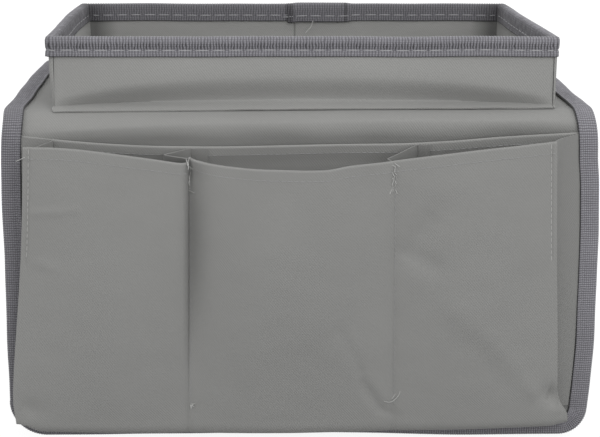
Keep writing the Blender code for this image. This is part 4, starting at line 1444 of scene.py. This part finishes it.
def pleat_plan(rear, fold, front):
    """A pleat seen from above from its rear to its front edge, its fold rounded."""
    before, after = fold.lerp(rear, PLEAT_EASE), fold.lerp(front, PLEAT_EASE)
    plan = [rear.lerp(before, k / 7) for k in range(7)]
    for share in steps(0, 1, 8):
        plan.append(before.lerp(fold, share).lerp(fold.lerp(after, share), share))
    return plan + [after.lerp(front, k / 7) for k in range(1, 8)]


# Name, pocket, edge of the pocket, rear place across, side that it folds to, rear flange, width
# of its web, share of the way to the panel at which it folds, and how taut its top edge is
PLEATS = [("gusset_left", 0, 0, -0.1537, 1, 0.0, 0.0345, 0.2, 0.0),
          ("gusset_right", 2, 1, 0.1537, -1, 0.0, 0.031, 0.4, 1.0),
          ("divider_left", 1, 0, -0.0616, -1, 0.0100, 0.0324, 0.58, 0.0),
          ("divider_right", 2, 0, 0.0626, -1, 0.0072, 0.0276, 0.8, 0.0)]


def pleat_rows(pocket, edge, rear_x, fold_side, flange, web, bend, taut):
    rows = []
    inner = 1 if edge == 0 else -1
    width = abs(PANEL_LINES[pocket + 1][0][1] - PANEL_LINES[pocket][0][1])
    lap = 4.0 / width
    for i in range(45):
        down = i / 44 * 0.976
        front_edge = panel_place(pocket, edge, down)
        lapped = panel_place(pocket, edge + inner * lap, down)
        rear_wave = rear_x + wave_out(FRONT, FRONT.along(min(front_edge.z, FRONT.axis_z)), rear_x)
        rear_z = mix(rear_hem(rear_x) - 0.0003, FLOOR_Z, down)
        drop = rear_hem(rear_x) - rear_z
        rear_y = FRONT.face - backing_out(rear_x, drop / BACKING_DROP) - CLOTH - GAP - 0.0003
        rear_y -= hem_rise(drop) * (flange > 0)
        behind = CLOTH + GAP + (2 * HEM_TURN + 0.0002) * smooth((0.055 - down) / 0.012)
        sewn, tail = (lapped, front_edge) if flange == 0 else (front_edge, lapped)
        front = Vector((sewn.x, sewn.y + behind))
        rear = Vector((rear_wave, rear_y))
        straight = (front - rear).length + 0.0002
        width = mix(web, min(web, straight), taut * smooth(1 - down / 0.22))
        fold = pleat_fold(rear, front, fold_side, width, bend)
        sway = 0.0007 * rumple(down, rear_x * 9, 0.12, 3.0) * smooth(down / 0.1) * (1 - down)
        fold.x += fold_side * sway
        plan = pleat_plan(rear, fold, front)
        plan.append(Vector((tail.x, tail.y + behind)).lerp(front, 0.3))
        if flange:
            plan.insert(0, Vector((rear_wave + 0.0007, rear_y + 0.0004)))
            plan.insert(0, Vector((rear_wave + 0.0014, rear_y - 0.0003)))
            plan.insert(0, Vector((rear_wave + flange, rear_y - 0.0002)))
        front_z = sewn.z - 0.0003 * (1 - down)
        span = abs(front.y - rear_y)
        row = []
        for spot in plan:
            forward = clamp(abs(spot.y - rear_y) / span)
            dip = 0.0003 * math.sin(math.pi * forward) * (1 - down)
            row.append(Vector((spot.x, spot.y, mix(rear_z, front_z, forward) - dip)))
        rows.append(row)
    return rows


def lean_with_mouth(obj):
    """Bakes the pleat's place into its mesh."""
    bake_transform(obj)
    return obj


def make_pleats(settings):
    # Painted shade: the gussets and dividers are a darker copy of the cloth colour.
    dye = twill_material("grey_twill_pleats", [0.88 * part for part in settings.colour],
                         settings.twill_pitch)
    for name, *place in PLEATS:
        rows = pleat_rows(*place)
        obj = cloth_piece(name + "_cloth", rows, settings.thickness * 0.8, dye)
        finish_piece(obj, [name])
        lean_with_mouth(obj)
        declare_sheet(rows)


# Stitches and loose threads

def on_panel(pocket, across, down, out):
    return panel_place(pocket, across, down) + Vector((0, -out, 0))


def seam_line(line, start, end, out, shift):
    """A run of stitches down one of the panel's four lines."""
    pocket, across = ((0, 0.0), (1, 0.0), (2, 0.0), (2, 1.0))[line]
    width = abs(PANEL_LINES[pocket + 1][0][1] - PANEL_LINES[pocket][0][1])
    points = []
    for down in steps(start, end, 60):
        points.append(on_panel(pocket, clamp(across + shift / width), down, out))
    return points


def make_hem_stitches(stitches, cloth):
    thread = thread_material("thread_hem", stitches.colour)
    out = cloth.thickness * 0.4
    share = 0.0052 / PANEL_DROP
    hem = [[on_panel(pocket, across, share, out) for across in steps(0.02, 0.98, 60)]
           for pocket in range(3)]
    seams = [seam_line(1, 0.01, 0.93, out, 1.2), seam_line(2, 0.01, 0.93, out, 1.0)]
    pale = thread_material("thread_edge", stitches.loose_colour)
    edges = [seam_line(3, 0.01, 0.40, out, -EDGE_SEAM[0]), seam_line(0, 0.01, 0.37, out, EDGE_SEAM[0])]
    obj = stitch_piece("pocket_edge_stitches", edges, stitches, pale, seed=5)
    finish_piece(obj, (), "pocket_front")
    obj = stitch_piece("pocket_hem_stitches", hem + seams, stitches, thread, seed=3)
    finish_piece(obj, (), "pocket_front")
    rear = []
    drop = 0.0045
    for x in steps(-0.150, 0.150, 100):
        out = backing_out(x, drop / BACKING_DROP) + hem_stand(x, drop) + CLOTH / 2
        rear.append(Vector((x, FRONT.face - out - 0.0001, rear_hem(x) - drop)))
    obj = stitch_piece("backing_hem_stitches", [rear], stitches, thread, seed=8)
    finish_piece(obj, (), "front_flap")


def strand_piece(name, strands, radius, material):
    """Loose threads: smooth round strands through their points."""
    curve = bpy.data.curves.new(name, "CURVE")
    curve.dimensions = "3D"
    curve.bevel_depth = radius
    curve.bevel_resolution = 1
    curve.use_fill_caps = True
    for strand in strands:
        spline = curve.splines.new("NURBS")
        spline.points.add(len(strand) - 1)
        for point, place in zip(spline.points, strand):
            point.co = (*place, 1)
        spline.order_u = 3
        spline.use_endpoint_u = True
        spline.resolution_u = 4
    obj = bpy.data.objects.new(name, curve)
    bpy.context.scene.collection.objects.link(obj)
    depsgraph = bpy.context.evaluated_depsgraph_get()
    mesh = bpy.data.meshes.new_from_object(obj.evaluated_get(depsgraph), depsgraph=depsgraph)
    bpy.data.objects.remove(obj, do_unlink=True)
    made = bpy.data.objects.new(name, mesh)
    bpy.context.scene.collection.objects.link(made)
    mesh.materials.clear()
    mesh.materials.append(material)
    mesh.polygons.foreach_set("use_smooth", [True] * len(mesh.polygons))
    return made


def fray(dice, place, count, size):
    """A tuft of short threads that stands out from a raw edge."""
    strands = []
    for _ in range(count):
        lean = Vector((dice.uniform(-1, 1), dice.uniform(-0.9, -0.1), dice.uniform(-1.6, 1) - FRAY_DROP))
        lean = lean.normalized() * size * dice.uniform(0.5, 1.0)
        base = place + Vector((dice.uniform(-1, 1), 0, dice.uniform(-1, 1))) * size * 0.25
        curl = Vector((dice.uniform(-1, 1), dice.uniform(-0.6, 0), dice.uniform(-1, 1))) * size * 0.3
        strands.append([base, base + lean * 0.4, base + lean * 0.75 + curl * 0.6, base + lean + curl])
    return strands


def make_loose_threads(stitches, cloth):
    thread = thread_material("thread_loose", stitches.loose_colour)
    dice = random.Random(41)
    out = cloth.thickness * 0.6
    strands = []
    for k in range(5):
        strands += fray(dice, on_panel(1, 0.0, 0.004 + 0.028 * k, out), 3, 0.0042)
        strands += fray(dice, on_panel(2, 0.0, 0.006 + 0.022 * k, out), 3, 0.0036)
    strands += fray(dice, on_panel(1, 0.012, 0.93, out), 5, 0.0024)
    curl = [on_panel(2, 0.0, 0.915, out)]
    for x, z in ((55.6, -150.5), (55.8, -154.5), (53.0, -158.6), (49.5, -160.6), (46.6, -159.4)):
        curl.append(Vector((x * MM, curl[0].y - 0.0012, z * MM)))
    strands.append(curl)
    strands.append([Vector((-0.1482, -0.1232, -0.0155)), Vector((-0.1510, -0.1222, -0.0171)),
                    Vector((-0.1533, -0.1205, -0.0183))])
    obj = strand_piece("pocket_loose_threads", strands, stitches.thread_radius * 0.9, thread)
    finish_piece(obj, (), "pocket_front")
    wall_y = TRAY_HALF_Y - STACK - 0.0003
    strand = [Vector((0.0135, wall_y - 0.0005, TRAY_TOP - 0.0090)),
              Vector((0.0128, wall_y - 0.0012, TRAY_TOP - 0.0125)),
              Vector((0.0105, wall_y - 0.0014, TRAY_TOP - 0.0150)),
              Vector((0.0085, wall_y - 0.0009, TRAY_TOP - 0.0172))]
    obj = strand_piece("tray_loose_thread", [strand], stitches.thread_radius * 0.9, thread)
    finish_piece(obj, (), "saddle")


# The stage: the camera as the photo's was solved (place, turns in degrees, lens and film in mm),
# the floor's height and half width, and the lamps' places, aim and sizes
CAMERA_PLACE = (-0.028, -0.855, 0.1417)
CAMERA_TURNS = (2.05, 14.66, 0.23)
CAMERA_LENS, CAMERA_FILM = 84, 36
FLOOR_HEIGHT, FLOOR_HALF = -0.1905, 3.0
LAMP_AIM = (0, 0, -0.05)
TOP_LAMP = ((0.2, -1.3, 1.05), (1.0, 0.8))
FRONT_LAMP = ((0.5, -1.7, 0.55), (1.4, 1.1))


def grey(level):
    return (level, level, level, 1)


def area_lamp(name, place, size, power):
    lamp = bpy.data.lights.new(name, "AREA")
    lamp.shape = "RECTANGLE"
    lamp.size, lamp.size_y = size
    lamp.energy = power
    obj = bpy.data.objects.new(name, lamp)
    obj.location = place
    obj.rotation_euler = (Vector(LAMP_AIM) - Vector(place)).to_track_quat("-Z", "Y").to_euler()
    bpy.context.scene.collection.objects.link(obj)
    return obj


def white_for_camera(tree, surface, white):
    """Shows plain white to the camera, mirrors and glass, and the surface's own light elsewhere."""
    seen = add_node(tree, "ShaderNodeLightPath")
    plain = maths(tree, "MAXIMUM", seen.outputs["Is Camera Ray"], seen.outputs["Is Glossy Ray"])
    plain = maths(tree, "MAXIMUM", plain, seen.outputs["Is Transmission Ray"])
    return add_node(tree, "ShaderNodeMixShader", {0: plain, 1: surface, 2: white}).outputs[0]


def make_floor():
    corners = [(FLOOR_HALF * x, FLOOR_HALF * y, FLOOR_HEIGHT)
               for x, y in ((-1, -1), (1, -1), (1, 1), (-1, 1))]
    floor = link_mesh("floor", corners, [], [(0, 1, 2, 3)])
    material = bpy.data.materials.new("studio_floor")
    material.use_nodes = True
    tree = material.node_tree
    tree.nodes.clear()
    output = add_node(tree, "ShaderNodeOutputMaterial")
    matte = add_node(tree, "ShaderNodeBsdfDiffuse", {"Color": grey(0.40)}).outputs[0]
    glow = add_node(tree, "ShaderNodeEmission", {"Color": grey(1), "Strength": 0.86})
    shown = add_node(tree, "ShaderNodeBsdfDiffuse", {"Color": grey(0.22)})
    white = add_node(tree, "ShaderNodeAddShader", {0: glow.outputs[0], 1: shown.outputs[0]})
    tree.links.new(white_for_camera(tree, matte, white.outputs[0]), output.inputs[0])
    floor.data.materials.append(material)


def make_world(strength):
    world = bpy.data.worlds.new("studio")
    world.use_nodes = True
    tree = world.node_tree
    tree.nodes.clear()
    output = add_node(tree, "ShaderNodeOutputWorld")
    light = add_node(tree, "ShaderNodeBackground", {"Color": grey(1), "Strength": strength})
    white = add_node(tree, "ShaderNodeBackground", {"Color": grey(1), "Strength": 1.0})
    tree.links.new(white_for_camera(tree, light.outputs[0], white.outputs[0]), output.inputs[0])
    bpy.context.scene.world = world


def make_camera():
    yaw, pitch, roll = (math.radians(turn) for turn in CAMERA_TURNS)
    ahead = Vector((math.sin(yaw) * math.cos(pitch), math.cos(yaw) * math.cos(pitch),
                    -math.sin(pitch)))
    right = ahead.cross(Vector((0, 0, 1))).normalized()
    up = right.cross(ahead)
    right, up = (right * math.cos(roll) + up * math.sin(roll),
                 up * math.cos(roll) - right * math.sin(roll))
    lens = bpy.data.cameras.new("camera")
    lens.lens, lens.sensor_width, lens.clip_start = CAMERA_LENS, CAMERA_FILM, 0.01
    lens.sensor_fit = "HORIZONTAL"
    obj = bpy.data.objects.new("camera", lens)
    turned = Matrix((right, up, -ahead)).transposed().to_4x4()
    obj.matrix_world = Matrix.Translation(CAMERA_PLACE) @ turned
    bpy.context.scene.collection.objects.link(obj)
    bpy.context.scene.camera = obj


def make_stage(settings):
    make_camera()
    make_world(settings.world_strength)
    make_floor()
    area_lamp("lamp_top", *TOP_LAMP, settings.top_power)
    area_lamp("lamp_front", *FRONT_LAMP, settings.front_power)
    bpy.context.scene.view_settings.view_transform = "Standard"


# Add-on: the sizes and colours that a user would change, the operators and the panel

class OrganizerCloth(bpy.types.PropertyGroup):
    """Outer cloth, lining and stiffener."""
    colour: bpy.props.FloatVectorProperty(
        name="Cloth Colour", description="Colour of the grey twill", subtype="COLOR", size=3,
        min=0, max=1, default=(0.238, 0.238, 0.231))
    thickness: bpy.props.FloatProperty(
        name="Cloth Thickness", description="Thickness of one layer of cloth", unit="LENGTH",
        default=0.0008, min=0.0002, max=0.002)
    twill_pitch: bpy.props.FloatProperty(
        name="Twill Pitch", description="Distance between two ridges of the twill", unit="LENGTH",
        default=0.00115, min=0.0003, max=0.005)
    lining_colour: bpy.props.FloatVectorProperty(
        name="Lining Colour", description="Colour of the lining", subtype="COLOR", size=3,
        min=0, max=1, default=(0.165, 0.165, 0.163))
    lining_thickness: bpy.props.FloatProperty(
        name="Lining Thickness", description="Thickness of the lining", unit="LENGTH",
        default=0.0008, min=0.0002, max=0.002)
    board_colour: bpy.props.FloatVectorProperty(
        name="Board Colour", description="Colour of the stiffener board", subtype="COLOR", size=3,
        min=0, max=1, default=(0.42, 0.33, 0.23))


class OrganizerTape(bpy.types.PropertyGroup):
    """Ribbed binding tape."""
    colour: bpy.props.FloatVectorProperty(
        name="Tape Colour", description="Colour of the binding tape", subtype="COLOR", size=3,
        min=0, max=1, default=(0.160, 0.157, 0.172))
    thickness: bpy.props.FloatProperty(
        name="Tape Thickness", description="Thickness of the tape", unit="LENGTH",
        default=0.0008, min=0.0002, max=0.002)
    rib_pitch: bpy.props.FloatProperty(
        name="Rib Pitch", description="Distance between two ribs of the edge tapes", unit="LENGTH",
        default=0.00135, min=0.0005, max=0.005)
    rim_rib_pitch: bpy.props.FloatProperty(
        name="Rim Rib Pitch", description="Distance between two ribs of the rim tape",
        unit="LENGTH", default=0.00165, min=0.0005, max=0.005)
    rib_height: bpy.props.FloatProperty(
        name="Rib Height", description="Height of a rib", unit="LENGTH",
        default=0.00016, min=0.0, max=0.001)


class OrganizerStitches(bpy.types.PropertyGroup):
    """Sewing thread."""
    colour: bpy.props.FloatVectorProperty(
        name="Thread Colour", description="Colour of the thread in the cloth", subtype="COLOR",
        size=3, min=0, max=1, default=(0.275, 0.275, 0.275))
    rim_colour: bpy.props.FloatVectorProperty(
        name="Rim Thread Colour", description="Colour of the thread on the tray's rim",
        subtype="COLOR", size=3, min=0, max=1, default=(0.42, 0.42, 0.43))
    loose_colour: bpy.props.FloatVectorProperty(
        name="Loose Thread Colour", description="Colour of the threads that have come loose",
        subtype="COLOR", size=3, min=0, max=1, default=(0.44, 0.44, 0.43))
    tape_colour: bpy.props.FloatVectorProperty(
        name="Tape Thread Colour", description="Colour of the thread on the edge tapes",
        subtype="COLOR", size=3, min=0, max=1, default=(0.19, 0.187, 0.20))
    thread_radius: bpy.props.FloatProperty(
        name="Thread Radius", description="Radius of the thread", unit="LENGTH",
        default=0.00022, min=0.00005, max=0.001)
    hem_pitch: bpy.props.FloatProperty(
        name="Hem Pitch", description="Distance between two hem stitches", unit="LENGTH",
        default=0.0034, min=0.001, max=0.02)
    hem_length: bpy.props.FloatProperty(
        name="Hem Length", description="Length of a hem stitch", unit="LENGTH",
        default=0.0031, min=0.0005, max=0.02)
    tape_pitch: bpy.props.FloatProperty(
        name="Tape Pitch", description="Distance between two stitches on the edge tapes",
        unit="LENGTH", default=0.0046, min=0.001, max=0.02)
    tape_length: bpy.props.FloatProperty(
        name="Tape Length", description="Length of a stitch on the edge tapes", unit="LENGTH",
        default=0.0036, min=0.0005, max=0.02)
    rim_pitch: bpy.props.FloatProperty(
        name="Rim Pitch", description="Distance between two stitches on the tray's rim",
        unit="LENGTH", default=0.0092, min=0.001, max=0.02)
    rim_length: bpy.props.FloatProperty(
        name="Rim Length", description="Length of a stitch on the tray's rim", unit="LENGTH",
        default=0.0080, min=0.0005, max=0.02)
    spread: bpy.props.FloatProperty(
        name="Spread", description="How unlike the stitches' lengths are", subtype="FACTOR",
        default=0.08, min=0.0, max=0.5)


class OrganizerStage(bpy.types.PropertyGroup):
    """Floor, lamps and world."""
    world_strength: bpy.props.FloatProperty(
        name="World Strength", description="Light from all round", default=1.01, min=0, max=5)
    top_power: bpy.props.FloatProperty(
        name="Top Lamp", description="Power of the lamp above", unit="POWER", default=5.4, min=0)
    front_power: bpy.props.FloatProperty(
        name="Front Lamp", description="Power of the lamp in front", unit="POWER", default=5.4, min=0)


class ORGANIZER_OT_saddle_cloth(bpy.types.Operator):
    """Make the saddle's cover with its two soft folds"""
    bl_idname = "organizer.saddle_cloth"
    bl_label = "Saddle Cover"

    def execute(self, context):
        make_saddle_cloth(context.scene.organizer_cloth)
        return {"FINISHED"}


class ORGANIZER_OT_saddle_lining(bpy.types.Operator):
    """Make the lining that lies on the armrest"""
    bl_idname = "organizer.saddle_lining"
    bl_label = "Saddle Lining"

    def execute(self, context):
        make_saddle_lining(context.scene.organizer_cloth)
        return {"FINISHED"}


class ORGANIZER_OT_edge_tapes(bpy.types.Operator):
    """Bind the saddle's edges with ribbed tape"""
    bl_idname = "organizer.edge_tapes"
    bl_label = "Edge Tapes"

    def execute(self, context):
        make_edge_tapes(context.scene.organizer_tape, context.scene.organizer_stitches)
        return {"FINISHED"}


class ORGANIZER_OT_tray_walls(bpy.types.Operator):
    """Make the tray's four walls, outside and inside"""
    bl_idname = "organizer.tray_walls"
    bl_label = "Tray Walls"

    def execute(self, context):
        make_tray_walls(context.scene.organizer_cloth)
        return {"FINISHED"}


class ORGANIZER_OT_rim_tape(bpy.types.Operator):
    """Bind the tray's rim with tape whose end laps over its start"""
    bl_idname = "organizer.rim_tape"
    bl_label = "Rim Tape"

    def execute(self, context):
        make_rim_tape(context.scene.organizer_tape, context.scene.organizer_stitches)
        return {"FINISHED"}


class ORGANIZER_OT_boards(bpy.types.Operator):
    """Finish the stiffener boards inside the cloth"""
    bl_idname = "organizer.boards"
    bl_label = "Stiffener Boards"

    def execute(self, context):
        make_boards(context.scene.organizer_cloth)
        return {"FINISHED"}


class ORGANIZER_OT_pocket_backing(bpy.types.Operator):
    """Make the hemmed sheet behind the pockets"""
    bl_idname = "organizer.pocket_backing"
    bl_label = "Pocket Backing"

    def execute(self, context):
        make_pocket_backing(context.scene.organizer_cloth)
        return {"FINISHED"}


class ORGANIZER_OT_pocket_panel(bpy.types.Operator):
    """Make the creased front panel of the three pockets"""
    bl_idname = "organizer.pocket_panel"
    bl_label = "Pocket Panel"

    def execute(self, context):
        make_pocket_panel(context.scene.organizer_cloth)
        return {"FINISHED"}


class ORGANIZER_OT_pleats(bpy.types.Operator):
    """Make the two gussets and the two dividers"""
    bl_idname = "organizer.pleats"
    bl_label = "Gussets and Dividers"

    def execute(self, context):
        make_pleats(context.scene.organizer_cloth)
        return {"FINISHED"}


class ORGANIZER_OT_stitches(bpy.types.Operator):
    """Sew the hems and the pocket seams"""
    bl_idname = "organizer.stitches"
    bl_label = "Hem Stitches"

    def execute(self, context):
        make_hem_stitches(context.scene.organizer_stitches, context.scene.organizer_cloth)
        return {"FINISHED"}


class ORGANIZER_OT_loose_threads(bpy.types.Operator):
    """Add the frayed edges and stray threads"""
    bl_idname = "organizer.loose_threads"
    bl_label = "Loose Threads"

    def execute(self, context):
        make_loose_threads(context.scene.organizer_stitches, context.scene.organizer_cloth)
        return {"FINISHED"}


class ORGANIZER_OT_stage(bpy.types.Operator):
    """Set up the camera, the pale floor and the soft light"""
    bl_idname = "organizer.stage"
    bl_label = "Stage"

    def execute(self, context):
        make_stage(context.scene.organizer_stage)
        return {"FINISHED"}


SETTINGS = {"organizer_cloth": OrganizerCloth, "organizer_tape": OrganizerTape,
            "organizer_stitches": OrganizerStitches, "organizer_stage": OrganizerStage}
OPERATORS = (ORGANIZER_OT_saddle_cloth, ORGANIZER_OT_saddle_lining, ORGANIZER_OT_edge_tapes,
             ORGANIZER_OT_tray_walls, ORGANIZER_OT_rim_tape, ORGANIZER_OT_boards,
             ORGANIZER_OT_pocket_backing, ORGANIZER_OT_pocket_panel, ORGANIZER_OT_pleats,
             ORGANIZER_OT_stitches, ORGANIZER_OT_loose_threads, ORGANIZER_OT_stage)


class ORGANIZER_PT_panel(bpy.types.Panel):
    """Lists the organizer's settings and operators"""
    bl_idname = "ORGANIZER_PT_panel"
    bl_label = "Armrest Organizer"
    bl_space_type = "VIEW_3D"
    bl_region_type = "UI"
    bl_category = "Organizer"

    def draw(self, context):
        layout = self.layout
        for name, group in SETTINGS.items():
            box = layout.box()
            box.label(text=group.__doc__.rstrip("."))
            for prop in group.__annotations__:
                box.prop(getattr(context.scene, name), prop)
        for operator in OPERATORS:
            layout.operator(operator.bl_idname)


def register():
    for group in SETTINGS.values():
        bpy.utils.register_class(group)
    for operator in OPERATORS:
        bpy.utils.register_class(operator)
    bpy.utils.register_class(ORGANIZER_PT_panel)
    for name, group in SETTINGS.items():
        setattr(bpy.types.Scene, name, bpy.props.PointerProperty(type=group))


def unregister():
    for name in SETTINGS:
        delattr(bpy.types.Scene, name)
    bpy.utils.unregister_class(ORGANIZER_PT_panel)
    for operator in reversed(OPERATORS):
        bpy.utils.unregister_class(operator)
    for group in SETTINGS.values():
        bpy.utils.unregister_class(group)


def main():
    register()
    bpy.ops.organizer.saddle_cloth()
    bpy.ops.organizer.saddle_lining()
    bpy.ops.organizer.edge_tapes()
    bpy.ops.organizer.tray_walls()
    bpy.ops.organizer.rim_tape()
    bpy.ops.organizer.boards()
    bpy.ops.organizer.pocket_backing()
    bpy.ops.organizer.pocket_panel()
    bpy.ops.organizer.pleats()
    bpy.ops.organizer.stitches()
    bpy.ops.organizer.loose_threads()
    bpy.ops.organizer.stage()


if __name__ == "__main__":
    main()
